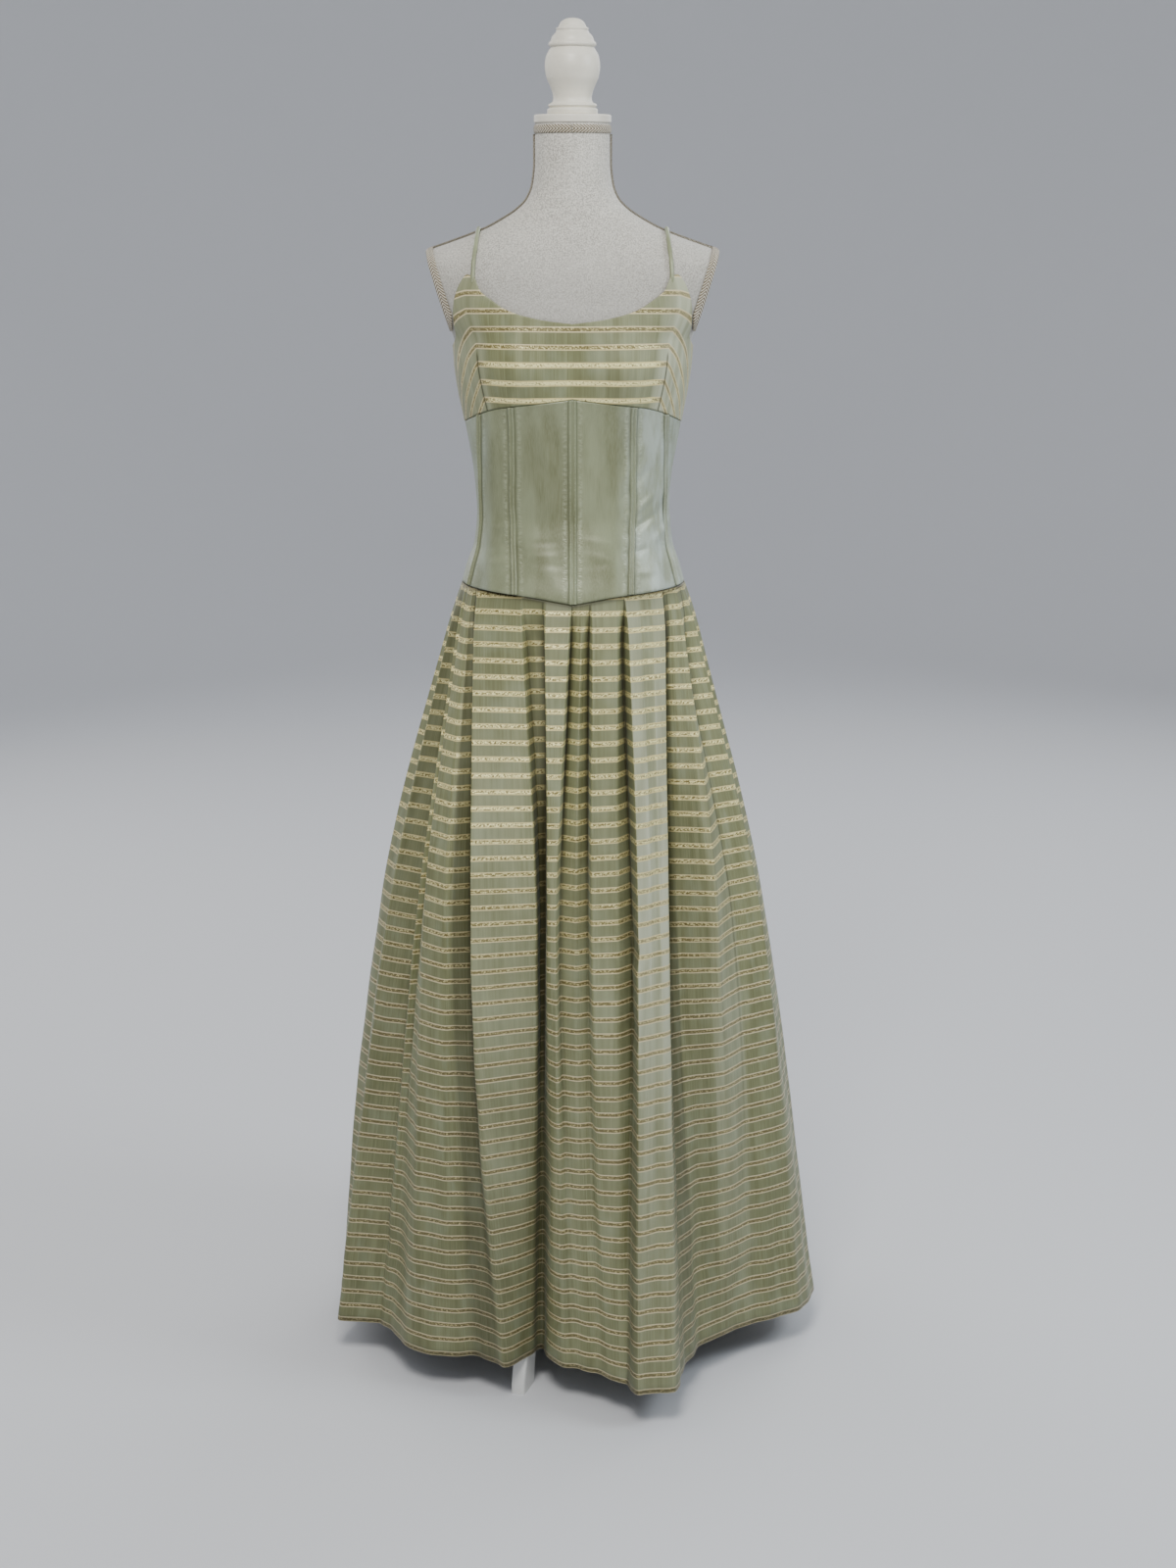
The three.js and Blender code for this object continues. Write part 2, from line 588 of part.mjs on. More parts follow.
// A ring of the skirt's outer face: each crease is rounded into two points.
function skirtRing(curves, fall) {
  const creases = curves.map((curve) => curve(fall));
  const count = creases.length;
  return creases.flatMap((here, i) => [i + count - 1, i + 1].map((k) => {
    const next = creases[k % count];
    return here.clone().lerp(next, Math.min(CREASE_ROUNDING, CREASE_ROUNDING_LIMIT / here.distanceTo(next)));
  }));
}

// The wall's inner face: each point moves inwards, square to the ring.
function innerRing(ring) {
  const count = ring.length;
  return ring.map((here, j) => {
    const before = here.clone().sub(ring[(j + count - 1) % count]).setZ(0).normalize();
    const after = ring[(j + 1) % count].clone().sub(here).setZ(0).normalize();
    const along = before.clone().add(after).normalize();
    const inwards = new THREE.Vector3(-along.y, along.x, 0);
    const stretch = Math.min(1.25, 1 / Math.max(0.5, along.dot(after)));
    return here.clone().addScaledVector(inwards, SKIRT_WALL * stretch);
  });
}

function buildSkirt() {
  const rows = [...FRONT_CREASES, ...backCreases()];
  const curves = rows.map(creaseCurve);
  const outer = [...SKIRT_FALLS].reverse().map((fall) => skirtRing(curves, fall));
  const inner = outer.map(innerRing);
  const total = outer[0].length;
  const frontEnd = 2 * FRONT_CREASES.length;
  const backMiddle = frontEnd + BACK_FOLDS * 2;
  const pieces = [
    ['skirt_front', 0, frontEnd],
    ['skirt_back_left', frontEnd, backMiddle],
    ['skirt_back_right', backMiddle, total],
  ];
  for (const [name, from, to] of pieces) {
    const cut = (grid) => grid.map((ring) => {
      const part = [];
      for (let j = from; j <= to; j += 1) part.push(ring[j % total].clone());
      const open = (here, next) => here.lerp(next, SEAM_GAP / 2 / here.distanceTo(next));
      open(part[0], part[1]);
      open(part[part.length - 1], part[part.length - 2]);
      return part;
    });
    addPiece(name, wallGeometry(cut(outer), cut(inner)), LOOKS.striped);
  }
}

// Straps and zip

// Points of a strap on the form, from the front corner of the bodice to the back.
const STRAP_STATIONS = [
  { x: 121, z: 1413, front: true },
  { x: 120, z: 1426, front: true },
  { x: 118, z: 1442, front: true },
  { x: 116.5, z: 1454, front: true },
  { x: 115.5, z: 1461, front: true },
  { x: 115.2, z: 1464.2, front: true },
  { x: 115, z: 1461.5, front: false },
  { x: 114, z: 1453, front: false },
  { x: 112, z: 1440, front: false },
  { x: 108, z: 1420, front: false },
  { x: 103, z: 1395, front: false },
  { x: 98, z: 1365, front: false },
  { x: 93, z: 1333, front: false },
  { x: 90, z: 1305, front: false },
];
const STRAP_RADIUS = 2.8;
const STRAP_GAP = 0.8;

function buildStrap(name, side) {
  const route = STRAP_STATIONS.map(({ x, z, front }) => {
    const depth = front ? -sectionDepth(x, z, formFront) : sectionDepth(x, z, formBack);
    const deg = degrees(Math.atan2(x, -depth));
    const point = overForm(deg, z, STRAP_RADIUS + STRAP_GAP);
    point.x *= side;
    return point;
  });
  const path = new THREE.CatmullRomCurve3(route);
  const section = new THREE.Shape();
  section.absarc(0, 0, STRAP_RADIUS, 0, TURN, false);
  const geometry = new THREE.ExtrudeGeometry(section, { steps: 30, extrudePath: path, curveSegments: 4 });
  addPiece(name, geometry, LOOKS.plain);
}

// The concealed zip: a coil between the back pieces, a slider with an arch, and
// a stirrup-shaped pull whose bar lies in the arch and turns there.
const ZIP = { topZ: 1291, lowZ: 1026, depth: 1.4 };
const SLIDER = { width: 4.6, length: 11, base: 2, height: 6, archDepth: 2.6, archLength: 4.4 };
const PULL = { width: 8.4, armWidth: 1.4, windowLength: 11, length: 25, thickness: 1.2 };

function buildZip() {
  const heights = spread(ZIP.lowZ, ZIP.topZ, 12);
  const halfTurn = (z) => ZIP_EDGE_DEG - 2 * seamDegrees(z);
  const edges = (z, out) => [-1, 1].map((side) => overForm(180 + side * halfTurn(z), z, out));
  const strip = (out) => heights.map((z) => edges(z, out));
  addPiece('zip_coil', wallGeometry(strip(CLOTH_GAP + ZIP.depth), strip(CLOTH_GAP)), LOOKS.metal);
  const seatZ = ZIP.topZ - SLIDER.length;
  const lean = Math.asin(formNormal(180, seatZ).z);
  const seat = overForm(180, seatZ, CLOTH_GAP + ZIP.depth + SEAM_GAP).setX(0);
  const arch = new THREE.Shape();
  const half = SLIDER.length / 2;
  arch.moveTo(0, -half);
  arch.lineTo(SLIDER.base, -half);
  arch.lineTo(SLIDER.height, -SLIDER.archLength + 1);
  arch.lineTo(SLIDER.height, SLIDER.archLength - 1);
  arch.lineTo(SLIDER.base, half);
  arch.lineTo(0, half);
  arch.lineTo(0, -half);
  const tunnel = new THREE.Path();
  const barY = SLIDER.base + SLIDER.archDepth / 2;
  tunnel.absarc(barY, 0, SLIDER.archDepth / 2, 0, TURN, true);
  arch.holes.push(tunnel);
  const sliderGeometry = new THREE.ExtrudeGeometry(arch, {
    depth: SLIDER.width, bevelEnabled: false, curveSegments: 6,
  });
  sliderGeometry.translate(0, 0, -SLIDER.width / 2);
  sliderGeometry.applyMatrix4(new THREE.Matrix4().set(
    0, 0, 1, 0,
    1, 0, 0, 0,
    0, 1, 0, 0,
    0, 0, 0, 1,
  ));
  const slider = addPiece('zip_slider', sliderGeometry, LOOKS.metal);
  slider.rotation.x = lean;
  slider.position.copy(seat);

  const tab = new THREE.Shape();
  const halfTab = PULL.width / 2;
  const barHalf = PULL.thickness / 2;
  tab.moveTo(-halfTab, barHalf);
  tab.lineTo(-halfTab, halfTab - PULL.length);
  tab.absarc(0, halfTab - PULL.length, halfTab, -Math.PI, 0, false);
  tab.lineTo(halfTab, barHalf);
  tab.lineTo(-halfTab, barHalf);
  const window = new THREE.Path();
  const halfWindow = halfTab - PULL.armWidth;
  window.moveTo(-halfWindow, -barHalf);
  window.lineTo(halfWindow, -barHalf);
  window.lineTo(halfWindow, -PULL.windowLength);
  window.lineTo(-halfWindow, -PULL.windowLength);
  window.lineTo(-halfWindow, -barHalf);
  tab.holes.push(window);
  const tabGeometry = new THREE.ExtrudeGeometry(tab, {
    depth: PULL.thickness, bevelEnabled: false, curveSegments: 10,
  });
  tabGeometry.translate(0, 0, -PULL.thickness / 2);
  const pull = addPiece('zip_pull', tabGeometry, LOOKS.metal);
  pull.rotation.x = Math.PI / 2 + lean;
  pull.position.set(0, seat.y + barY * Math.cos(lean), seat.z + barY * Math.sin(lean));
}

buildTorso();
buildArmBraid('arm_braid_left', 1);
buildArmBraid('arm_braid_right', -1);
buildNeck();
buildStand();
buildBodice();
buildCorset();
buildChannels();
buildSkirt();
buildStrap('strap_left', 1);
buildStrap('strap_right', -1);
buildZip();

export default group;
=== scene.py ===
# %% [markdown]
# # A corset dress on its dress form
# The dress is taffeta: a striped bodice, a plain boned corset and a long pleated
# skirt with the same woven gold stripes. It hangs on a limbless form on a stand.
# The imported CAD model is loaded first, because it fixes the size and the place of
# every piece. Each soft piece is then worked out again as a finer surface.

import bmesh
import bpy
import numpy as np
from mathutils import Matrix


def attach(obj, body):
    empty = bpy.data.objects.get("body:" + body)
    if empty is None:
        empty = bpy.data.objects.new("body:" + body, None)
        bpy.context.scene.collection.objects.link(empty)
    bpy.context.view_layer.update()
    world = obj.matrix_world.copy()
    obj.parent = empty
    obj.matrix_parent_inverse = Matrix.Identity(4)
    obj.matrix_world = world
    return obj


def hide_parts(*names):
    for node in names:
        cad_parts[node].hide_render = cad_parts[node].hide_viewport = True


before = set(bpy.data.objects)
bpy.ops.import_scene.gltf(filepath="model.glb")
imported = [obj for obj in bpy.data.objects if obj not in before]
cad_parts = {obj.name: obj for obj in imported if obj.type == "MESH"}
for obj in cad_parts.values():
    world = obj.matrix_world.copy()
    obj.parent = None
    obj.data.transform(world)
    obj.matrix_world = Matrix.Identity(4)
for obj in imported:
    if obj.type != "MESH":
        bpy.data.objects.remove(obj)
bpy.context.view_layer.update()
DRESS = "dress_on_form"

# %% [markdown]
# ## The camera
# The photograph was taken from about three metres, a little below the neck, and
# tilted down. The same camera is made here, so a render can be laid over it.

# %% Camera
CAMERA_PLACE_M = (0.019, -3.0, 1.506)
CAMERA_TILT_DEG = 76
CAMERA_LENS, CAMERA_SENSOR = 54.09, 36
camera_data = bpy.data.cameras.new("camera")
camera_data.sensor_width = CAMERA_SENSOR
camera_data.lens = CAMERA_LENS
camera_data.dof.use_dof = False
camera = bpy.data.objects.new("camera", camera_data)
camera.location = CAMERA_PLACE_M
camera.rotation_euler = (np.radians(CAMERA_TILT_DEG), 0, 0)
bpy.context.scene.collection.objects.link(camera)
bpy.context.scene.camera = camera
print("lens", camera_data.lens)

# %% [markdown]
# ## The sizes
# All sizes are in millimetres. A few heights with a width and two depths say what
# the form is, and a smooth curve through them gives every height between. The curve
# is a monotone cubic: it never swells past the points it goes through.

# %% Gaps, walls and heights
SEAM_GAP = 0.3
CLOTH_GAP = 0.9
BODICE_GAP = 1.7
CLOTH_WALL = 1.8
SHELL_WALL = 0.9
HEM_Z = 50
NECK_TOP_Z = 1593
TORSO_FOOT_Z = 790
print("hem", HEM_Z, "neck top", NECK_TOP_Z)


# %% Smooth curve through points
def smooth_curve(places, values):
    """A cubic between each two points. Its slope at a point is the weighted harmonic
    mean of the rates on both sides, or 0 where these rates differ in sign."""
    x = np.asarray(places, float)
    y = np.asarray(values, float)
    wide = (-1,) + (1,) * (y.ndim - 1)
    span = np.diff(x).reshape(wide)
    rate = np.diff(y, axis=0) / span
    before = 2 * span[1:] + span[:-1]
    after = span[1:] + 2 * span[:-1]
    turning = rate[:-1] * rate[1:] <= 0
    low = np.where(turning, 1, rate[:-1])
    high = np.where(turning, 1, rate[1:])
    slope = np.empty_like(y)
    slope[0], slope[-1] = rate[0], rate[-1]
    slope[1:-1] = np.where(turning, 0, (before + after) / (before / low + after / high))

    def at(place):
        """The cubic through both neighbours of place with the two slopes found there."""
        p = np.clip(np.asarray(place, float), x[0], x[-1])
        i = np.clip(np.searchsorted(x, p, side="right") - 1, 0, len(x) - 2)
        u = ((p - x[i]) / np.diff(x)[i]).reshape(p.shape + (1,) * (y.ndim - 1))
        rise = u * (1 - u) ** 2 * span[i].reshape(u.shape) * slope[i]
        fall = u * u * (u - 1) * span[i].reshape(u.shape) * slope[i + 1]
        return y[i] + (y[i + 1] - y[i]) * u * u * (3 - 2 * u) + rise + fall

    return at


def table_curve(rows, column):
    """The smooth curve through one column of a table, by its first column."""
    table = np.array(rows, float)
    return smooth_curve(table[:, 0], table[:, column])


# %% The form's sections: height, half width, front depth, back depth, power
FORM_SECTIONS = [
    (790, 132, 98, 106, 2.2),
    (840, 146, 108, 118, 2.2),
    (900, 151, 112, 123, 2.2),
    (960, 150, 113, 121, 2.2),
    (1015, 143, 113, 115, 2.2),
    (1050, 133, 104, 105, 2.2),
    (1081, 122.8, 96, 96, 2.2),
    (1120, 119, 88, 88, 2.2),
    (1168, 122.4, 88, 88, 2.2),
    (1206, 128.9, 90, 92, 2.2),
    (1236, 134.4, 93, 96, 2.2),
    (1267, 140.4, 97, 99, 2.2),
    (1300, 145.2, 99, 102, 2.2),
    (1334, 148.6, 99, 105, 2.1),
    (1360, 170, 97, 107, 2),
    (1388, 190, 90, 107, 2),
    (1412, 205, 80, 103, 2),
    (1425, 208, 73, 97, 2),
    (1440, 182, 65, 86, 2),
    (1450, 154, 60, 78, 2),
    (1460, 126, 56, 71, 2),
    (1469, 104, 52, 64, 2),
    (1480, 84, 49, 58, 2),
    (1489, 70, 48, 54, 2),
    (1503, 56, 47, 50, 2),
    (1520, 49, 46, 47, 2),
    (1548, 46, 46, 46, 2),
    (1593, 46, 46, 46, 2),
]
form_width = table_curve(FORM_SECTIONS, 1)
form_front = table_curve(FORM_SECTIONS, 2)
form_back = table_curve(FORM_SECTIONS, 3)
form_power = table_curve(FORM_SECTIONS, 4)

BUST_X, BUST_Z, BUST_HEIGHT = 72, 1300, 12
BUST_REACH_X, BUST_REACH_UP, BUST_REACH_DOWN = 40, 48, 34
print("sections of the form", len(FORM_SECTIONS))

# %% Arm cuts (height, distance from the middle) and the part under the dress
PLATE_LOW = (1334, 148)
PLATE_HIGH = (1440, 182)
NO_CUT = 1e6
UNDER_DRESS_INSET, UNDER_DRESS_TOP, UNDER_DRESS_FADE = 2.2, 1318, 30

# %% Seams and edges round the body: angle from the front, height
neckline_at = table_curve([
    (0, 1356), (20, 1360), (35, 1366), (44, 1373), (51, 1383), (57, 1394), (61.5, 1411), (64, 1413),
    (67, 1390), (70, 1363), (75, 1342), (82, 1329), (90, 1324), (115, 1308), (140, 1299), (180, 1294),
], 1)
empire_at = table_curve([(0, 1266), (47, 1255), (90, 1232), (180, 1236)], 1)
waist_at = table_curve([(0, 1015), (32, 1024), (90, 1029), (180, 1024)], 1)


def fold_angle(deg):
    """The angle from the front on either side, from 0 to 180."""
    return np.abs((np.asarray(deg, float) + 180) % 360 - 180)


# %% Points and normals of the form
def plate_x(z):
    """The flat cut of each arm: its distance from the middle grows evenly with height."""
    share = (z - PLATE_LOW[0]) / (PLATE_HIGH[0] - PLATE_LOW[0])
    return PLATE_LOW[1] + (PLATE_HIGH[1] - PLATE_LOW[1]) * share


def uncut_point(deg, z):
    """A section is a superellipse: |x/width|^power + |y/depth|^power = 1, met by a ray
    at deg from the front. Each bust point adds a bell-shaped rise to the front."""
    deg, z = np.broadcast_arrays(np.asarray(deg, float), np.asarray(z, float))
    side, ahead = np.sin(np.radians(deg)), np.cos(np.radians(deg))
    depth = np.where(ahead > 0, form_front(z), form_back(z))
    power = form_power(z)
    total = (np.abs(side) / form_width(z)) ** power + (np.abs(ahead) / depth) ** power
    radius = total ** (-1 / power)
    x, y = radius * side, -radius * ahead
    across = (np.abs(x) - BUST_X) / BUST_REACH_X
    up = (z - BUST_Z) / np.where(z > BUST_Z, BUST_REACH_UP, BUST_REACH_DOWN)
    y = y - BUST_HEIGHT * np.exp(-across ** 2 - up ** 2) * np.clip(3 * ahead, 0, 1)
    return np.stack([x, y, z], axis=-1)


def form_point(deg, z):
    """The form with each arm's flat cut."""
    point = uncut_point(deg, z)
    height = point[..., 2]
    on_plate = (height >= PLATE_LOW[0]) & (height <= PLATE_HIGH[0])
    limit = np.where(on_plate, plate_x(height), NO_CUT)
    point[..., 0] = np.clip(point[..., 0], -limit, limit)
    return point


def unit(vectors):
    """Each vector over its own length."""
    return vectors / np.maximum(np.linalg.norm(vectors, axis=-1, keepdims=True), 1e-9)


def normal_of(surface, deg, z, turn=0.4, rise=0.8):
    """A small step round the surface crossed with a small step up it."""
    around = surface(deg + turn, z) - surface(deg - turn, z)
    up = surface(deg, z + rise) - surface(deg, z - rise)
    return unit(np.cross(around, up))


def over_form(deg, z, out):
    """A point at a distance out from the form, square to it."""
    deg, z = np.broadcast_arrays(np.asarray(deg, float), np.asarray(z, float))
    out = np.asarray(out, float)[..., None]
    return form_point(deg, z) + normal_of(form_point, deg, z) * out


def section_depth(x, z, depth):
    """The superellipse solved for its depth at x."""
    share = np.clip(1 - (x / form_width(z)) ** form_power(z), 0, 1)
    return depth(z) * share ** (1 / form_power(z))


print("bust point", form_point(36, 1300).round(1))

# %% [markdown]
# ## From a grid of points to a piece
# Cloth, trim and turned wood are all grids here: rows that go up, and columns that
# go round to the left side. One helper turns a grid into a mesh, gives it its map and
# material, and hides the CAD solid it stands for. Solidify then gives cloth
# its thickness, inwards, so the outside stays where it was put.

# %% Grid helpers
MM = 0.001
CLOTH_MAP = "cloth"


def grid_faces(rows, columns, closed=False):
    """Each face's corners: this point, the next column's, that one a row up, and the
    point a row up. A closed grid joins its last column to its first."""
    point = np.arange(rows * columns).reshape(rows, columns)
    here = point if closed else point[:, :-1]
    right = np.roll(point, -1, axis=1) if closed else point[:, 1:]
    return np.stack([here[:-1], right[:-1], right[1:], here[1:]], axis=-1).reshape(-1, 4)


def grid_normals(points):
    """The change along a row crossed with the change up a column."""
    return unit(np.cross(np.gradient(points, axis=1), np.gradient(points, axis=0)))


def lengths_along(points, axis):
    """Distance walked along a grid from its first row or column."""
    steps = np.linalg.norm(np.diff(points, axis=axis), axis=-1)
    start = np.zeros_like(np.take(steps, [0], axis=axis))
    return np.cumsum(np.concatenate([start, steps], axis=axis), axis=axis)


def grid_area(points):
    """The sum of the faces' areas: half the length of the cross product of diagonals."""
    one = points[1:, 1:] - points[:-1, :-1]
    other = points[1:, :-1] - points[:-1, 1:]
    return float(np.linalg.norm(np.cross(one, other), axis=-1).sum() / 2)


def make_piece(name, points, material, stands_for=(), closed=False, uv=None,
               wall=0.0, faces=None, values=None):
    """Builds the mesh from a grid in millimetres, hides the CAD solids it stands for, and
    attaches the piece to the dress. values names further numbers for each point, which
    materials read as attributes."""
    if faces is None:
        faces = grid_faces(points.shape[0], points.shape[1], closed)
    mesh = bpy.data.meshes.new(name)
    mesh.from_pydata((points.reshape(-1, 3) * MM).tolist(), [], faces.tolist())
    mesh.polygons.foreach_set("use_smooth", np.ones(len(faces), bool))
    if uv is not None:
        corners = uv.reshape(-1, 2)[faces.reshape(-1)] * MM
        layer = mesh.uv_layers.new(name=CLOTH_MAP)
        layer.data.foreach_set("uv", corners.astype(np.float32).ravel())
    for word, numbers in (values or {}).items():
        layer = mesh.attributes.new(word, "FLOAT", "POINT")
        layer.data.foreach_set("value", np.asarray(numbers, np.float32).ravel())
    mesh.materials.append(material)
    piece = bpy.data.objects.new(name, mesh)
    bpy.context.scene.collection.objects.link(piece)
    if wall:
        solidify = piece.modifiers.new("thickness", "SOLIDIFY")
        solidify.thickness = wall * MM
        solidify.offset = -1
    if stands_for:
        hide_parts(*stands_for)
    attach(piece, DRESS)
    return piece


def merge_poles(piece, crisp_deg=None):
    """Joins points that share a place, drops faces without area, and turns faces out.
    An edge stays crisp where its faces meet at more than crisp_deg."""
    shape = bmesh.new()
    shape.from_mesh(piece.data)
    bmesh.ops.remove_doubles(shape, verts=shape.verts, dist=1e-6)
    bmesh.ops.dissolve_degenerate(shape, edges=shape.edges, dist=1e-7)
    bmesh.ops.recalc_face_normals(shape, faces=shape.faces)
    shape.to_mesh(piece.data)
    shape.free()
    if crisp_deg:
        piece.data.set_sharp_from_angle(angle=float(np.radians(crisp_deg)))
    return piece


def lay_cloth(piece, grid, width, length):
    """Prints the cut of a sheet: its flat width and length, given in millimetres, and the
    area of its grid, all three in metres."""
    width, length, area = float(width) * MM, float(length) * MM, grid_area(grid) * MM * MM
    print(piece.name, "flat", round(width, 3), round(length, 3), "area", round(area, 4))


# %% [markdown]
# ## Soft wrinkles
# Taffeta is crisp: it keeps long shallow waves and a few short pulls. The waves could
# be simulated, but a sum of sines with seeded lengths gives the same each time. The
# pulls are listed one by one, as soft troughs on short lines in the front view.

# %% Wrinkle functions
def soft_waves(across, along, seed, across_mm, along_mm, count=8):
    """The sum of sine waves with random lengths and phases, scaled to about -1 to 1."""
    random = np.random.default_rng(seed)
    total = np.zeros(np.broadcast(across, along).shape)
    for _ in range(count):
        step_across = 2 * np.pi / random.uniform(*across_mm)
        step_along = 2 * np.pi / random.uniform(*along_mm) * random.choice([-1, 1])
        total += np.sin(step_across * across + step_along * along + random.uniform(0, 2 * np.pi))
    return total / (1.3 * np.sqrt(count))


def pull_marks(x, z, marks):
    """Each mark is depth times a bell across a line, times a parabola that is 0 at the
    line's ends. A mark holds: x and z of both ends, width, depth."""
    total = np.zeros_like(x)
    for x0, z0, x1, z1, width, depth in marks:
        run, rise = x1 - x0, z1 - z0
        length = np.hypot(run, rise)
        along = ((x - x0) * run + (z - z0) * rise) / length ** 2
        off = ((x - x0) * rise - (z - z0) * run) / length
        total += depth * np.exp(-(off / width) ** 2) * np.clip(4 * along * (1 - along), 0, 1)
    return total


# %% [markdown]
# ## Materials
# Each finish is a small tree of nodes. The stripes read the piece's own map, whose
# second number is the distance up the cloth in metres, so they follow the cut as woven
# stripes do. The rest read Object coordinates. A few numbers at each point, written
# with the mesh, say where the cloth is folded or puckered. They paint shade into folds
# and seams, and highlights onto gleaming panels, puckers and the gold thread.

# %% A short way to write node trees
def srgb(*values):
    """The colour that a screen shows as these 0 to 255 values, as linear light."""
    v = np.array(values) / 255
    linear = np.where(v <= 0.04045, v / 12.92, ((v + 0.055) / 1.055) ** 2.4)
    return (*map(float, linear), 1.0)


class Finish:
    """A material under construction: each call adds one node and returns its output."""

    def __init__(self, name, **shader_values):
        """A new material whose one shader has these fixed values."""
        self.material = bpy.data.materials.new(name)
        self.material.use_nodes = True
        self.tree = self.material.node_tree
        self.tree.nodes.clear()
        self.shader = self.node("ShaderNodeBsdfPrincipled")
        output = self.node("ShaderNodeOutputMaterial")
        self.tree.links.new(self.shader.outputs[0], output.inputs[0])
        for socket, value in shader_values.items():
            self.shader.inputs[socket.replace("_", " ")].default_value = value

    def node(self, kind, **settings):
        """A new node with its settings."""
        node = self.tree.nodes.new(kind)
        for key, value in settings.items():
            setattr(node, key, value)
        return node

    def put(self, socket, value):
        """A link where value is an output, else a fixed number or colour."""
        if isinstance(value, bpy.types.NodeSocket):
            self.tree.links.new(value, socket)
        else:
            socket.default_value = value

    def math(self, operation, a, b=0.0, clamp=False):
        """One operation on a and b, kept between 0 and 1 where clamp is set."""
        node = self.node("ShaderNodeMath", operation=operation, use_clamp=clamp)
        self.put(node.inputs[0], a)
        self.put(node.inputs[1], b)
        return node.outputs[0]

    def times(self, a, b, clamp=False):
        """a times b."""
        return self.math("MULTIPLY", a, b, clamp)

    def plus(self, a, b):
        """a plus b."""
        return self.math("ADD", a, b)

    def between(self, value, low, high):
        """1 from low to high, and 0 elsewhere."""
        above = self.math("GREATER_THAN", value, low)
        below = self.math("LESS_THAN", value, high)
        return self.times(above, below)

    def ramp(self, value, low, high, to_low=0.0, to_high=1.0):
        """A straight change from to_low to to_high while value goes from low to high."""
        node = self.node("ShaderNodeMapRange")
        for socket, number in zip(node.inputs, (value, low, high, to_low, to_high)):
            self.put(socket, number)
        return node.outputs[0]

    def mix(self, factor, a, b):
        """Colour a at factor 0, colour b at 1, and between them by shares."""
        node = self.node("ShaderNodeMix", data_type="RGBA", blend_type="MIX")
        self.put(node.inputs["Factor"], factor)
        self.put(node.inputs[6], a)
        self.put(node.inputs[7], b)
        return node.outputs[2]

    def place(self):
        """The point's own place in metres."""
        return self.node("ShaderNodeTexCoord").outputs["Object"]

    def cloth_map(self):
        """Across and up the cloth in metres, as its map was written."""
        return self.node("ShaderNodeUVMap", uv_map=CLOTH_MAP).outputs[0]

    def attribute(self, name):
        """The number that the mesh holds at each point under this name."""
        return self.node("ShaderNodeAttribute", attribute_name=name).outputs["Fac"]

    def join(self, x, y):
        """A vector made of two numbers."""
        node = self.node("ShaderNodeCombineXYZ")
        self.put(node.inputs[0], x)
        self.put(node.inputs[1], y)
        return node.outputs[0]

    def split(self, vector):
        """A vector's three numbers."""
        node = self.node("ShaderNodeSeparateXYZ")
        self.put(node.inputs[0], vector)
        return node.outputs

    def stretch(self, vector, scale, turn=(0, 0, 0)):
        """The vector scaled on each axis and then turned, so noise gets a grain."""
        node = self.node("ShaderNodeMapping")
        self.put(node.inputs["Vector"], vector)
        node.inputs["Rotation"].default_value = turn
        node.inputs["Scale"].default_value = scale
        return node.outputs[0]

    def noise(self, vector, scale=1.0, detail=2.0, roughness=0.5):
        """Smooth noise around 0.5, whose cells are 1 over scale wide."""
        node = self.node("ShaderNodeTexNoise")
        self.put(node.inputs["Vector"], vector)
        node.inputs["Scale"].default_value = scale
        node.inputs["Detail"].default_value = detail
        node.inputs["Roughness"].default_value = roughness
        return node.outputs[0]

    def relief(self, height, distance, strength=1.0):
        """Joins a height to the shader's normal as bump of that depth in metres."""
        node = self.node("ShaderNodeBump")
        node.inputs["Strength"].default_value = strength
        node.inputs["Distance"].default_value = distance
        self.put(node.inputs["Height"], height)
        self.put(self.shader.inputs["Normal"], node.outputs[0])

    def set(self, socket, value):
        """Puts a value or an output into one socket of the shader."""
        self.put(self.shader.inputs[socket], value)


# %% [markdown]
# ### Striped taffeta
# Sage green ground with fine streaks along the warp. Every 20 mm comes a band of
# about 7 mm: two thin cream lines, and between them a flat gold thread twisted with
# an olive one. An image could hold such a weave, but a pattern worked out from the
# map stays sharp at any distance. The gold carries a painted highlight: it glitters
# more where the painted glint at each point is high, at the bust and at the top of the
# skirt. The fold attribute is painted shade that darkens the bottom of a pleat, and the
# pale attribute is a painted reflection that whitens a panel that mirrors a lamp.

# %% Ground of the striped taffeta
STRIPE_PITCH = 0.0202
LINE_SHARE = 0.07
BAND_SHARE = 0.335


def warp_streaks(f, cloth):
    """Fine and broad noise, both stretched along the warp, and the broad one alone."""
    fine = f.noise(f.stretch(cloth, (620, 5, 1)), detail=3, roughness=0.6)
    broad = f.noise(f.stretch(cloth, (75, 5, 1), (0, 0, 0.06)), detail=3)
    return f.plus(f.times(fine, 0.55), f.times(broad, 0.45)), broad


def striped_ground(f, cloth, streak, pale):
    """Two greens mixed by the streaks, with lighter and darker patches over them, then
    whitened by a painted reflection where pale is high.
    """
    patch = f.noise(f.stretch(cloth, (34, 15, 1), (0, 0, 0.25)), detail=2)
    ground = f.mix(f.ramp(streak, 0.38, 0.62), srgb(107, 109, 74), srgb(133, 136, 100))
    ground = f.mix(f.ramp(patch, 0.5, 0.72, 0, 0.42), ground, srgb(148, 156, 128))
    ground = f.mix(f.ramp(patch, 0.28, 0.46, 0.35, 0), ground, srgb(98, 97, 60))
    # Painted reflection: pale whitens the ground.
    return f.mix(pale, ground, srgb(190, 193, 168))


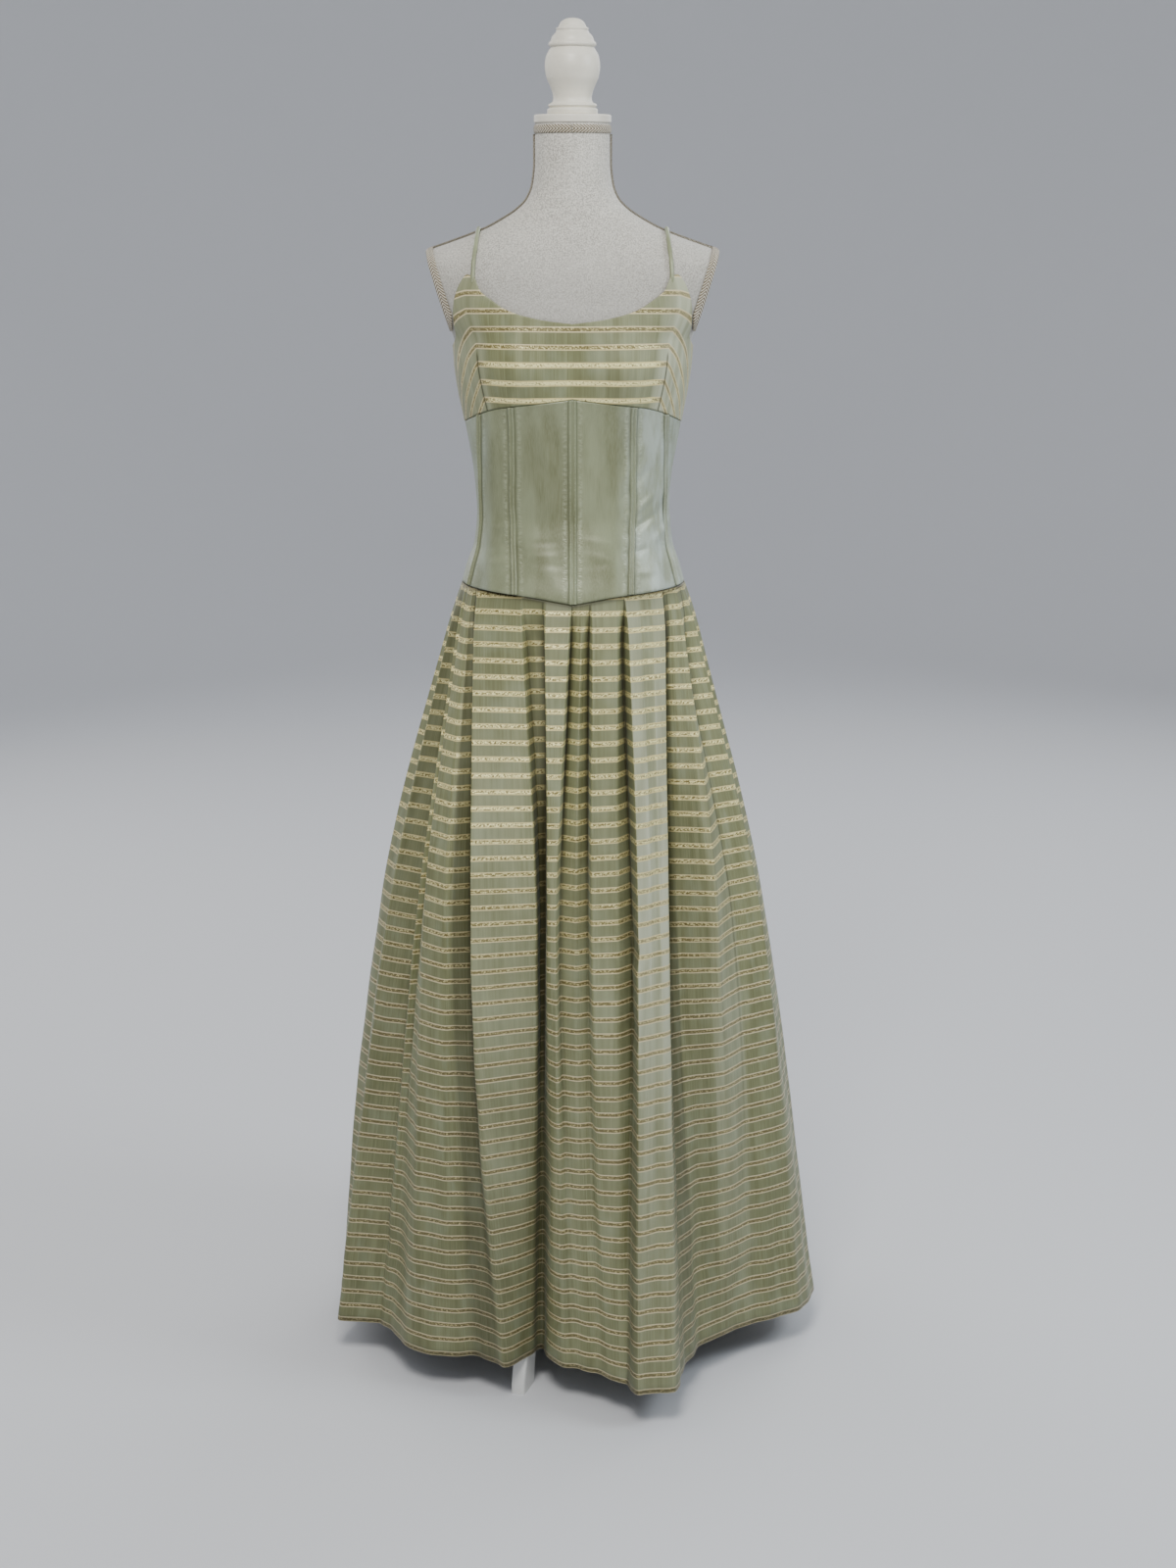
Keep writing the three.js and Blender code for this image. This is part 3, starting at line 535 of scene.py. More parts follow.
# %% Gold thread and the whole striped taffeta
def gold_thread(f, cloth, turn, painted_glint_here, pale):
    """Specks of noise lie along a zigzag. Where they are bright the gold shows, and
    elsewhere the olive thread. A painted highlight makes the gold brighter and more of it
    where the painted glint is high, and a painted reflection whitens the olive thread
    where pale is high. Returns the colour, the share of gold and the specks."""
    zigzag = f.math("PINGPONG", f.times(turn, STRIPE_PITCH * 1.3), 0.0016)
    leaning = f.join(f.plus(f.attribute("walk"), zigzag), f.split(cloth)[1])
    speck = f.noise(leaning, scale=400, detail=2, roughness=0.75)
    sweep = f.noise(f.stretch(cloth, (16, 9, 1)), detail=1)
    # Painted highlight: where the painted glint is high, more specks show gold, the gold is brighter and
    # the olive thread yellower; pale whitens the olive thread as a painted reflection.
    bright = f.plus(f.times(painted_glint_here, 0.08), f.times(sweep, 0.08))
    gold = f.ramp(f.plus(speck, bright), 0.575, 0.655)
    dull = f.mix(painted_glint_here, srgb(108, 99, 62), srgb(114, 100, 48))
    dull = f.mix(pale, dull, srgb(158, 151, 114))
    lit = f.mix(painted_glint_here, srgb(200, 189, 138), srgb(255, 246, 178))
    return f.mix(gold, dull, lit), gold, speck


def striped_taffeta():
    """A point's turn is its distance up the cloth over the stripe's pitch, without the
    whole part. The band, its two lines and its core are ranges of that turn."""
    f = Finish("striped taffeta", Specular_IOR_Level=0.36, Sheen_Weight=0.1, Sheen_Roughness=0.35)
    f.set("Sheen Tint", srgb(206, 218, 214))
    # The painted glint: a painted highlight on the gold, high at the bust and the top of the skirt.
    cloth, painted_glint_here = f.cloth_map(), f.attribute("painted_glint")
    turn = f.math("FRACT", f.math("DIVIDE", f.split(cloth)[1], STRIPE_PITCH))
    core = f.between(turn, LINE_SHARE, BAND_SHARE - LINE_SHARE)
    line = f.math("SUBTRACT", f.between(turn, 0.0, BAND_SHARE), core)
    streak, broad = warp_streaks(f, cloth)
    # Painted reflection: the pale attribute, broken up by the broad streaks.
    pale = f.times(f.attribute("pale"), f.ramp(broad, 0.36, 0.62, 0.6, 1.15), clamp=True)
    thread, gold, speck = gold_thread(f, cloth, turn, painted_glint_here, pale)
    # The cream lines are painted a little brighter where the painted glint is high.
    edge = f.mix(painted_glint_here, srgb(204, 192, 154), srgb(214, 200, 140))
    colour = f.mix(core, striped_ground(f, cloth, streak, pale), thread)
    colour = f.mix(line, colour, edge)
    # Painted shade: the fold attribute darkens the colour towards a deep olive.
    f.set("Base Color", f.mix(f.times(f.attribute("fold"), 0.88), colour, srgb(34, 30, 8)))
    f.set("Metallic", f.times(f.times(core, gold), 0.25))
    f.set("Roughness", f.ramp(core, 0, 1, 0.5, 0.42))
    raised = f.times(f.times(core, speck), 0.8)
    f.relief(f.plus(f.times(streak, 0.6), raised), 0.0006, 0.8)
    return f.material


# %% [markdown]
# ### Plain taffeta, jersey, braid, paint and metal
# The corset's taffeta has a satin face: soft upright patches of light, painted
# highlights that lean at its sides, and fine puckers beside the seams, lightened by a
# painted highlight. Jersey has the fine speckle of a heather knit. The braid's two
# colours run in a herringbone along its own map.

# %% Plain taffeta
def satin_gleam(f, place):
    """A painted highlight: the pale attribute times noise that leans, so the gleam breaks
    up as on satin.
    """
    leaning = f.noise(f.stretch(place, (70, 40, 17), (0, 0.55, 0)), detail=3, roughness=0.55)
    return f.times(f.attribute("pale"), f.ramp(leaning, 0.4, 0.64, 0.35, 1.2), clamp=True)


def plain_taffeta():
    """Two greens mixed by two leaning noises. Pucker whitens them where a fine noise is
    high, as a painted highlight on the stitching puckers; the gleam is a painted
    highlight too; and fold darkens them with painted shade."""
    f = Finish("plain taffeta", Metallic=0.1, Roughness=0.34, Specular_IOR_Level=0.65,
               Sheen_Weight=0.12)
    f.set("Sheen Tint", srgb(206, 220, 214))
    place = f.place()
    patch = f.noise(f.stretch(place, (34, 20, 11), (0, 0.35, 0)), detail=3, roughness=0.5)
    other = f.noise(f.stretch(place, (42, 30, 8), (0, -0.3, 0)), detail=2)
    fine = f.noise(f.stretch(place, (900, 900, 60)), detail=2)
    stitch = f.noise(f.stretch(place, (150, 150, 330)), detail=2, roughness=0.6)
    weave = f.noise(f.stretch(place, (300, 300, 2600)), detail=1)
    cloud = f.plus(f.times(patch, 0.55), f.times(other, 0.45))
    pucker_bumps_and_highlights = f.times(f.attribute("pucker"), f.ramp(stitch, 0.4, 0.62))
    colour = f.mix(f.ramp(cloud, 0.4, 0.6), srgb(112, 115, 82), srgb(140, 146, 114))
    colour = f.mix(f.ramp(fine, 0.35, 0.7, 0, 0.35), colour, srgb(152, 157, 126))
    # Painted highlight on the puckers, then the painted gleam.
    colour = f.mix(f.times(pucker_bumps_and_highlights, 0.55), colour, srgb(172, 178, 148))
    colour = f.mix(satin_gleam(f, place), colour, srgb(196, 208, 202))
    # Painted shade: fold darkens the colour towards a dark olive.
    f.set("Base Color", f.mix(f.times(f.attribute("fold"), 0.6), colour, srgb(66, 66, 38)))
    f.set("Roughness", f.ramp(cloud, 0.35, 0.65, 0.46, 0.33))
    height = f.plus(f.times(cloud, 0.9), f.times(weave, 0.1))
    f.relief(f.plus(height, f.times(pucker_bumps_and_highlights, 0.4)), 0.0014, 0.45)
    return f.material


# %% Jersey
def jersey():
    """Grey and cream mixed by a fine noise, shaded in its lowest visible part."""
    f = Finish("jersey", Roughness=0.92, Sheen_Weight=0.2, Sheen_Roughness=0.5)
    place = f.place()
    speckle = f.noise(place, scale=620, detail=2)
    cloud = f.noise(place, scale=16, detail=3)
    colour = f.mix(f.ramp(speckle, 0.38, 0.6), srgb(156, 152, 142), srgb(212, 208, 197))
    colour = f.mix(f.ramp(cloud, 0.3, 0.75, 0, 0.22), colour, srgb(228, 225, 216))
    low_shade = f.ramp(f.split(place)[2], 1.4, 1.5, 0.5, 0)
    colour = f.mix(low_shade, colour, srgb(142, 140, 134))
    f.set("Base Color", colour)
    f.relief(speckle, 0.0005, 0.6)
    return f.material


# %% Woven braid and twisted cord
BRAID_WIDTH = 10.5


def woven_braid():
    """Sine bars along the braid, each bent at the middle into a chevron."""
    f = Finish("woven braid", Roughness=0.8, Sheen_Weight=0.2)
    cloth = f.cloth_map()
    along, across = f.split(cloth)[:2]
    off_middle = f.math("ABSOLUTE", f.math("SUBTRACT", across, BRAID_WIDTH / 2 * MM))
    wave = f.math("SINE", f.times(f.plus(along, f.times(off_middle, 1.3)), 1500))
    grain = f.noise(cloth, scale=900, detail=1)
    share = f.ramp(f.plus(wave, f.times(grain, 1.6)), 0.2, 1.4)
    f.set("Base Color", f.mix(share, srgb(104, 88, 62), srgb(214, 206, 186)))
    f.relief(wave, 0.0008, 0.8)
    return f.material


# %% Painted wood
def painted_wood(name, paint, worn, wear):
    """Paint with a darker cloud and brush marks, worn through in a few chips."""
    f = Finish(name, Roughness=0.42, Coat_Weight=0.12, Coat_Roughness=0.25)
    place = f.place()
    cloud = f.noise(place, scale=22, detail=4)
    brush = f.noise(f.stretch(place, (260, 260, 18)), detail=3)
    chips = f.noise(place, scale=95, detail=5, roughness=0.7)
    shade = tuple(0.86 * c for c in paint[:3]) + (1.0,)
    colour = f.mix(f.ramp(cloud, 0.35, 0.7), shade, paint)
    colour = f.mix(f.ramp(brush, 0.45, 0.75, 0, 0.2), colour, shade)
    colour = f.mix(f.ramp(chips, 0.66, 0.72, 0, wear), colour, worn)
    f.set("Base Color", colour)
    f.set("Roughness", f.ramp(cloud, 0.3, 0.7, 0.38, 0.55))
    f.relief(brush, 0.0003, 0.4)
    return f.material


# %% Brass
def brushed_brass():
    """Two golds mixed by a noise that is stretched flat, which also sets the gloss."""
    f = Finish("brushed brass", Metallic=1.0, Roughness=0.32)
    scratch = f.noise(f.stretch(f.place(), (400, 400, 3000)), detail=2)
    f.set("Base Color", f.mix(scratch, srgb(150, 134, 88), srgb(205, 190, 140)))
    f.set("Roughness", f.ramp(scratch, 0.3, 0.7, 0.26, 0.42))
    return f.material


# %% One of each
STRIPED = striped_taffeta()
PLAIN = plain_taffeta()
JERSEY = jersey()
BRAID = woven_braid()
CREAM_PAINT = painted_wood("cream paint", srgb(226, 221, 205), srgb(178, 168, 146), 0.35)
WHITE_PAINT = painted_wood("white paint", srgb(232, 232, 228), srgb(176, 164, 142), 0.7)
BRASS = brushed_brass()
print("materials", len(bpy.data.materials))

# %% [markdown]
# ## The dress form
# It is one smooth body with two flat arm cuts and a straight neck. Rings of points
# on the form's surface make it, and four columns of each ring follow the edges of
# the arm cuts so that these stay crisp.

# %% Torso
TORSO_RINGS = [(TORSO_FOOT_Z, 1333.5, 78), (1335, 1439.4, 44), (1441, 1520, 40), (1524, NECK_TOP_Z, 12)]
RING_PARTS = (64, 16, 64, 16)
EDGE_HEIGHTS, EDGE_ANGLES = (1300, 1334, 1440, 1500), (78, 84, 89.6, 78)
FOOT_TAPER = 0.93
END_RINGS = (0.6, 0.0)


def cut_edge(z, depth):
    """The angle of a flat cut's edge: atan2 of the cut's distance and the depth there.
    Above and below the cut, the columns come from a short table."""
    if PLATE_LOW[0] < z < PLATE_HIGH[0]:
        return float(np.degrees(np.arctan2(plate_x(z), section_depth(plate_x(z), z, depth))))
    return float(np.interp(z, EDGE_HEIGHTS, EDGE_ANGLES))


def torso_columns(z):
    """Angles of one ring: front, left cut, back and right cut, evenly spaced in each."""
    front, back = cut_edge(z, form_front), 180 - cut_edge(z, form_back)
    corners = (-front, front, back, 360 - back, 360 - front)
    spans = zip(corners, corners[1:], RING_PARTS)
    return np.concatenate([np.linspace(*span, endpoint=False) for span in spans])


def torso():
    """Rings on the form's surface, a little inside it where the dress hides them. Each
    end closes with two smaller rings."""
    heights = np.concatenate([np.linspace(*rings) for rings in TORSO_RINGS])
    columns = np.array([torso_columns(z) for z in heights])
    hidden = np.clip((UNDER_DRESS_TOP - heights) / UNDER_DRESS_FADE, 0, 1)
    grid = over_form(columns, heights[:, None], (-UNDER_DRESS_INSET * hidden)[:, None])
    grid[0, :, :2] *= FOOT_TAPER
    foot, top = ([end * np.array([s, s, 1]) for s in END_RINGS] for end in (grid[:1], grid[-1:]))
    grid = np.concatenate([*foot[::-1], grid, *top])
    piece = make_piece("form_body", grid, JERSEY, ["form_torso"], closed=True)
    return merge_poles(piece, crisp_deg=38)


form_body = torso()
print("torso faces", len(form_body.data.polygons))

# %% [markdown]
# ### Braid, cord and turned wood
# A flat braid edges each arm cut. A thin two-ply cord lies on each shoulder seam and
# runs up the side of the neck. The neck has its own braid, and a cap with a turned
# finial closes it. A strip or a tube carried along a line makes each of them, since
# the line itself can be read off the form.

# %% Arm braids
SIDES = ((1, "left"), (-1, "right"))
BRAID_RISE, BRAID_OUT, BRAID_WALL = 2.2, 1.0, 1.2
BRAID_TOP_Z = (PLATE_HIGH[0] - 1, 1444)
BRAID_FOOT_Z, BRAID_FOOT_X = PLATE_LOW[0] + 12, 147.5


def crown(columns, height, edge=0.25):
    """A braid's profile: a half sine across its width, raised a little at its edges."""
    across = np.linspace(0, 1, columns)
    return height * (edge + (1 - edge) * np.sin(np.pi * across) ** 0.6)


def braid_line(inset, top_z, rise):
    """A line inset from the edge of the cut, from the cut's foot up to top_z."""
    z = BRAID_FOOT_Z + (top_z - BRAID_FOOT_Z) * rise
    edge = plate_x(z)
    return edge - np.minimum(inset, np.maximum(0, edge - BRAID_FOOT_X)), z


def arm_braid(name, side, node, steps=150, columns=9):
    """Two lines along the cut's edge, joined by a crowned strip square to the form."""
    turn = np.linspace(-180, 180, steps)
    share = np.linspace(0, 1, columns)[None, :]
    rise = (1 + np.cos(np.radians(turn))) / 2
    x_out, z_out = braid_line(0.4, BRAID_TOP_Z[0], rise)
    x_in, z_in = braid_line(BRAID_WIDTH, BRAID_TOP_Z[1], rise)
    x = x_out[:, None] + (x_in - x_out)[:, None] * share
    z = z_out[:, None] + (z_in - z_out)[:, None] * share
    front = turn[:, None] < 0
    y = np.where(front, -section_depth(x, z, form_front), section_depth(x, z, form_back))
    deg = np.degrees(np.arctan2(x, -y))
    out = BRAID_OUT + crown(columns, BRAID_RISE)[None, :]
    grid = np.stack([x, y, z], axis=-1) + normal_of(uncut_point, deg, z) * out[..., None]
    grid[..., 0] *= side
    uv = np.stack([lengths_along(grid, 0), np.broadcast_to(share * BRAID_WIDTH, x.shape)], axis=-1)
    if side > 0:
        grid, uv = grid[:, ::-1], uv[:, ::-1]
    return make_piece(name, grid, BRAID, [node], uv=uv, wall=BRAID_WALL)


for side, word in SIDES:
    trim = merge_poles(arm_braid(f"arm_trim_{word}", side, f"arm_braid_{word}"))
    print(trim.name, "faces", len(trim.data.polygons))


# %% Swept tubes
PATH_GUIDE = np.array([0.13, 0.9, 0.2])
STRAND_SWING = 0.8


def cross_axes(path):
    """Two axes square to a path: its direction crossed with a fixed guide, and that
    axis crossed with the direction."""
    direction = unit(np.gradient(path, axis=0))
    side = unit(np.cross(direction, PATH_GUIDE))
    return side, np.cross(side, direction)


def tube(path, radius, sides=8):
    """A circle carried along a path: the point plus radius times (side cos + up sin)."""
    side, up = cross_axes(path)
    angle = np.linspace(0, 2 * np.pi, sides, endpoint=False)[None, :, None]
    radius = np.broadcast_to(np.asarray(radius, float), (len(path),))[:, None, None]
    return path[:, None] + radius * (side[:, None] * np.cos(angle) + up[:, None] * np.sin(angle))


def two_ply(path, strand, pitch):
    """Two strands, each a helix round the path, half a turn apart."""
    side, up = cross_axes(path)
    walked = lengths_along(path, 0)
    strands = []
    for start in (0, np.pi):
        angle = (walked / pitch * 2 * np.pi + start)[:, None]
        swing = strand * STRAND_SWING * (side * np.cos(angle) + up * np.sin(angle))
        strands.append(tube(path + swing, strand, 6))
    return strands


def joined_tubes(name, grids, material, stands_for=()):
    """Several closed grids as one mesh, with a map of length along and width round."""
    points, faces, maps, start = [], [], [], 0
    for grid in grids:
        rows, columns = grid.shape[:2]
        faces.append(grid_faces(rows, columns, closed=True) + start)
        points.append(grid.reshape(-1, 3))
        around = np.broadcast_to(np.linspace(0, BRAID_WIDTH, columns)[None], (rows, columns))
        maps.append(np.stack([lengths_along(grid, 0), around], axis=-1).reshape(-1, 2))
        start += rows * columns
    return make_piece(name, np.concatenate(points), material, stands_for,
                      uv=np.concatenate(maps), faces=np.concatenate(faces))


# %% Shoulder cords
CORD_STRAND, CORD_PITCH, CORD_OUT = 1.0, 6.5, 1.2


def shoulder_cord(side, word):
    """A cord over the form at 90 degrees from the front, from the neck to the arm."""
    z = np.concatenate([np.linspace(1580, 1500, 90), np.linspace(1499, 1441.5, 210)])
    strands = two_ply(over_form(np.full(len(z), 90.0 * side), z, CORD_OUT), CORD_STRAND, CORD_PITCH)
    return joined_tubes(f"shoulder_cord_{word}", strands, BRAID)


for side, word in SIDES:
    cord = shoulder_cord(side, word)
print("cord faces", len(cord.data.polygons))


# %% Turned wood
def turned(name, profile, material, node, columns=72, steps=160):
    """A profile of radius and height, spun about the upright axis."""
    outline = np.array(profile, float)
    walked = lengths_along(outline, 0)
    walked = walked + np.arange(len(walked)) * 1e-6
    at = np.unique(np.concatenate([np.linspace(0, walked[-1], steps), walked]))
    smooth = smooth_curve(walked, outline)(at)
    angle = np.linspace(0, 2 * np.pi, columns, endpoint=False)
    x = smooth[:, :1] * np.sin(angle)[None]
    y = -smooth[:, :1] * np.cos(angle)[None]
    z = np.broadcast_to(smooth[:, 1:], x.shape)
    piece = make_piece(name, np.stack([x, y, z], axis=-1), material, [node], closed=True)
    return merge_poles(piece, crisp_deg=50)


# %% Neck cap and finial
cap_low = NECK_TOP_Z + SEAM_GAP
turned("neck_disc", [
    (0, cap_low), (46, cap_low), (47.1, cap_low + 0.7), (47.5, cap_low + 2), (47.5, cap_low + 8),
    (47, cap_low + 9.4), (45.6, cap_low + 10), (0, cap_low + 10),
], CREAM_PAINT, "neck_cap")
foot = cap_low + 10.3
turned("turned_finial", [
    (0, foot), (30.4, foot), (31, foot + 0.8), (31, 1608.6), (30.2, 1610.4), (28, 1611.4), (28.6, 1612.4),
    (30, 1614), (29.2, 1615.8), (26.5, 1617), (24.4, 1619), (23.6, 1623), (24.6, 1629), (27, 1636),
    (32, 1648), (33.8, 1660), (32.4, 1671), (28.6, 1679), (26.4, 1682.6), (28.6, 1684), (29.2, 1686),
    (28.4, 1688), (27, 1689.4), (24.6, 1695), (20, 1700.4), (19.4, 1702), (20, 1703.6), (19, 1705),
    (17.5, 1706), (14.4, 1711.4), (8, 1715.6), (0, 1717),
], CREAM_PAINT, "finial", steps=260)
print("cap from", cap_low, "finial from", foot)


# %% Neck braid
NECK_BRAID_Z = (NECK_TOP_Z - 12, NECK_TOP_Z - 2)
NECK_BRAID_RADIUS, NECK_BRAID_RISE = 46.4, 1.5


def neck_braid(rows=9, columns=180):
    """A crowned strip carried round the neck."""
    angle = np.linspace(0, 2 * np.pi, columns, endpoint=False)
    z = np.linspace(*NECK_BRAID_Z, rows)
    radius = NECK_BRAID_RADIUS + crown(rows, NECK_BRAID_RISE)
    x = radius[:, None] * np.sin(angle)[None]
    y = -radius[:, None] * np.cos(angle)[None]
    grid = np.stack([x, y, np.broadcast_to(z[:, None], x.shape)], axis=-1)
    along = np.broadcast_to(angle[None] * 47, x.shape)
    uv = np.stack([along, np.broadcast_to((z - z[0])[:, None] * 1.05, x.shape)], axis=-1)
    return make_piece("neck_trim", grid, BRAID, ["neck_braid"], closed=True, uv=uv, wall=1.0)


print("neck braid faces", len(neck_braid().data.polygons))

# %% [markdown]
# ### The stand
# A pole, a collar and three flat curved legs, of which the skirt hides nearly all. A
# leg is a rounded rectangle carried from the collar to the floor between an inner and
# an outer curve, as a sawn board would be marked out.

# %% Pole and collar
turned("stand_pole", [
    (0, 120), (16, 120), (17, 121), (17, 789), (0, 789.7),
], WHITE_PAINT, "pole")
turned("stand_collar", [
    (17.3, 150), (24.8, 150), (25.6, 151), (25.6, 349), (24.6, 353), (22.6, 356), (17.3, 356), (17.3, 150),
], WHITE_PAINT, "collar")


# %% Legs: a curve's distance from the middle and height, at its two ends and two handles
LEG_INNER = ((26, 190), (110, 175), (182, 110), (196, 12))
LEG_OUTER = ((26, 330), (150, 215), (216, 110), (240, 12))
LEG_THICKNESS = 19
LEG_POWER = 8
FRONT_LEG_DEG = -17.5


def bezier(start, first, second, end, t):
    """A cubic Bezier: the four points weighted by (1-t)^3, 3t(1-t)^2, 3t^2(1-t), t^3."""
    t = t[:, None]
    ends = (1 - t) ** 3 * np.array(start) + t ** 3 * np.array(end)
    return ends + 3 * t * (1 - t) ** 2 * np.array(first) + 3 * t * t * (1 - t) * np.array(second)


def to_floor(curve, t):
    """The curve's points, and one more straight below its end."""
    return np.concatenate([bezier(*curve, t), [[curve[-1][0], 0.0]]])


def leg(name, node, turn, rings=70, sides=32):
    """Rings between the inner and the outer curve. Each ring is a superellipse of a
    high power, which is a rectangle with rounded corners."""
    t = np.linspace(0, 1, rings)
    inner, outer = to_floor(LEG_INNER, t), to_floor(LEG_OUTER, t)
    middle, half = (inner + outer) / 2, (outer - inner) / 2
    angle = np.linspace(0, 2 * np.pi, sides, endpoint=False) + np.pi / sides
    power = 2 / LEG_POWER
    across = np.sign(np.cos(angle)) * np.abs(np.cos(angle)) ** power
    side = np.sign(np.sin(angle)) * np.abs(np.sin(angle)) ** power * LEG_THICKNESS / 2
    radius = middle[:, :1] + half[:, :1] * across[None]
    z = middle[:, 1:] + half[:, 1:] * across[None]
    side = np.broadcast_to(side[None], z.shape)
    aim = np.radians(turn)
    x = radius * np.sin(aim) + side * np.cos(aim)
    y = -radius * np.cos(aim) + side * np.sin(aim)
    grid = np.stack([x, y, z], axis=-1)
    top, foot = (end.mean(axis=1, keepdims=True) + 0 * end for end in (grid[:1], grid[-1:]))
    grid = np.concatenate([top, grid, foot])
    return merge_poles(make_piece(name, grid, WHITE_PAINT, [node], closed=True), crisp_deg=40)


for turn, word in ((0, "front"), (120, "side"), (240, "rear")):
    made = leg(f"stand_leg_{word}", f"leg_{word}", FRONT_LEG_DEG + turn)
    print(made.name, "faces", len(made.data.polygons))

# %% [markdown]
# ## The skirt
# The skirt is a ring of creases at every height. Each crease is a curve from the
# waist seam to the hem through one point between. At a crease the cloth turns on a
# soft bend, and between two creases it lies as a slightly bowed panel. Cloth
# simulation would also give folds, but not these ones: the front's creases follow the
# photograph, and the back repeats a plain fold with slow unevenness.

# %% Creases of the front
# Each row: angle on the seam and lift there, x and forward at mid height, then at the hem.
FRONT_CREASES = [
    (-90, 4, -257, 2, -326, 2),
    (-85, 1, -246, 48, -306, 60),
    (-81, 5, -240, 104, -317, 122),
    (-76, 0, -205, 136, -260, 128),
    (-74, 4, -201, 150, -253, 137),
    (-71.5, 0, -197, 152, -244, 150),
    (-69.5, 5, -190, 176, -208, 208),
    (-66.5, 5, -160, 206, -162, 222),
    (-64.5, 4, -150, 204, -128, 219),
    (-62, 0, -129, 206, -105, 238),
    (-61, 6, -127, 230, -88, 255),
    (-32, 5.5, -44, 214, -52, 215),
    (-31, 0.5, -42.5, 200, -47, 206),
    (-26, 2.5, -38, 197, -42, 203),
    (-18.4, 0, -35.5, 196, -39, 206),
    (-17, 6, -31, 222, -28, 233),
    (-1.5, 5.5, -20, 226, -12, 254),
    (-0.3, 0, -17, 211, 4, 257),
    (5.5, 3.2, 4, 213, 18, 262),
    (10.7, 0, 20.5, 210, 32, 269),
    (11.8, 5.5, 23, 225, 45, 280),
    (27, 4, 56, 219, 60, 292),
    (31.4, 0, 77.5, 203, 69, 299),
    (32.6, 6.5, 80, 232, 80, 326),
    (40, 5, 95, 221, 95, 321),
    (41.6, 3.1, 102, 212, 108, 317),
    (47, 3.1, 108, 206, 117, 318),
    (48.4, 5, 111, 205, 121, 318),
    (56, 6, 121, 193, 131, 316),
    (57.2, 0, 122.5, 166, 143, 252),
    (61.5, 3.2, 141, 160, 166, 190),
    (68, 5, 184, 162, 207, 153),
    (73, 0, 211, 121, 242, 130),
    (79, 5, 243, 86, 306, 92),
    (84.5, 0, 249, 44, 326, 54),
]
print("front creases", len(FRONT_CREASES))

# %% Creases of the back, and where each crease lies
BACK_FOLDS = 12
FRONT_WAIST_Z, PLEAT_MID_Z = 1015, 600
PLEAT_MID_FALL = (FRONT_WAIST_Z - PLEAT_MID_Z) / (FRONT_WAIST_Z - HEM_Z)
VALLEY_LIFT = 3
TUCK_FALL = 0.07
FORM_ROOM = 4.5


def back_creases():
    """A ridge and a valley for each fold, with slow sine waves in angle and depth."""
    k = np.arange(2 * BACK_FOLDS)
    ridge = k % 2 == 0
    even = 90 + k * 180 / (2 * BACK_FOLDS)
    deg = even + 2 * np.sin(2.3 * k)
    mid = np.where(ridge, 248, 224) + 6 * np.sin(1.7 * k + 0.6)
    hem = np.where(ridge, 322, 286) + 9 * np.sin(1.1 * k + 2)
    place = even + 1.6 * np.sin(1.9 * k + 1)
    deg[0], place[0] = 90, 90
    side, ahead = np.sin(np.radians(place)), np.cos(np.radians(place))
    return np.stack([deg, np.where(ridge, 5, 0), mid * side, mid * ahead, hem * side, hem * ahead], axis=1)


CREASES = np.concatenate([np.array(FRONT_CREASES, float), back_creases()])
slot_depth_at = smooth_curve([0, 0.05, 0.2, 0.45, 0.75, 1], [0, 9, 12, 9, 5, 3])


def crease_paths(falls):
    """Each crease's x and y are smooth curves of the fall through three points, and its
    height goes evenly from the waist seam to the hem. At the seam itself the stitches
    hold the cloth down. A valley goes deeper where there is room over the form."""
    deg, lift, mid_x, mid_r, hem_x, hem_r = CREASES.T
    seam = waist_at(fold_angle(deg)) - SEAM_GAP / 2
    top = over_form(deg, seam, CLOTH_GAP + CLOTH_WALL + lift)
    stops = [0, PLEAT_MID_FALL, 1]
    x = smooth_curve(stops, np.stack([top[:, 0], mid_x, hem_x]))(falls)
    y = smooth_curve(stops, np.stack([top[:, 1], -mid_r, -hem_r]))(falls)
    z = seam[None] + (HEM_Z - seam)[None] * falls[:, None]
    radius = np.hypot(x, y)
    body = form_point(np.degrees(np.arctan2(x, -y)), np.maximum(z, TORSO_FOOT_Z))
    room = np.maximum(radius - np.hypot(body[..., 0], body[..., 1]) - FORM_ROOM, 0)
    valley = (lift <= VALLEY_LIFT)[None]
    tuck = lift[None] * np.clip(1 - falls / TUCK_FALL, 0, 1)[:, None] ** 2
    inward = np.where(valley, np.minimum(slot_depth_at(falls)[:, None], room), 0) + tuck
    return np.stack([x * (1 - inward / radius), y * (1 - inward / radius), z], axis=-1)


# %% Soft bends and bowed panels
BEND_PART = 0.34
BEND_COLUMNS = 7
LEAST_BEND, VALLEY_BEND, RIDGE_BEND = 0.9, 7, 9
BOW_RANGE = (0.01, 0.035)


def column_samples(first, last, spacing):
    """Pairs of crease number and place beside it, from -1 to 1, spaced by hem length."""
    hem = crease_paths(np.array([1.0]))[0]
    gap = np.linalg.norm(np.roll(hem, -1, axis=0) - hem, axis=1)
    pairs = []
    for k in range(first, last + 1):
        before = max(2, int(np.ceil(gap[(k - 1) % len(gap)] / 2 / spacing)))
        after = max(2, int(np.ceil(gap[k % len(gap)] / 2 / spacing)))
        places = np.concatenate([
            np.linspace(-1, -BEND_PART, before, endpoint=False),
            np.linspace(-BEND_PART, BEND_PART, BEND_COLUMNS),
            np.linspace(1, BEND_PART, after, endpoint=False)[::-1],
        ])
        places = places[(k > first) | (places >= -BEND_PART - 1e-9)]
        places = places[(k < last) | (places <= -BEND_PART + 1e-9)]
        keep = places[places > -1 + 1e-9]
        pairs.append(np.stack([np.full(len(keep), k), keep], axis=1))
    return np.concatenate(pairs)


def crease_degrees():
    """The creases' angles on the seam, with one more before the first and two after
    the last, so that a place beside any crease has an angle."""
    deg = CREASES[:, 0]
    return np.concatenate([[deg[-1] - 360], deg, deg[:2] + 360])


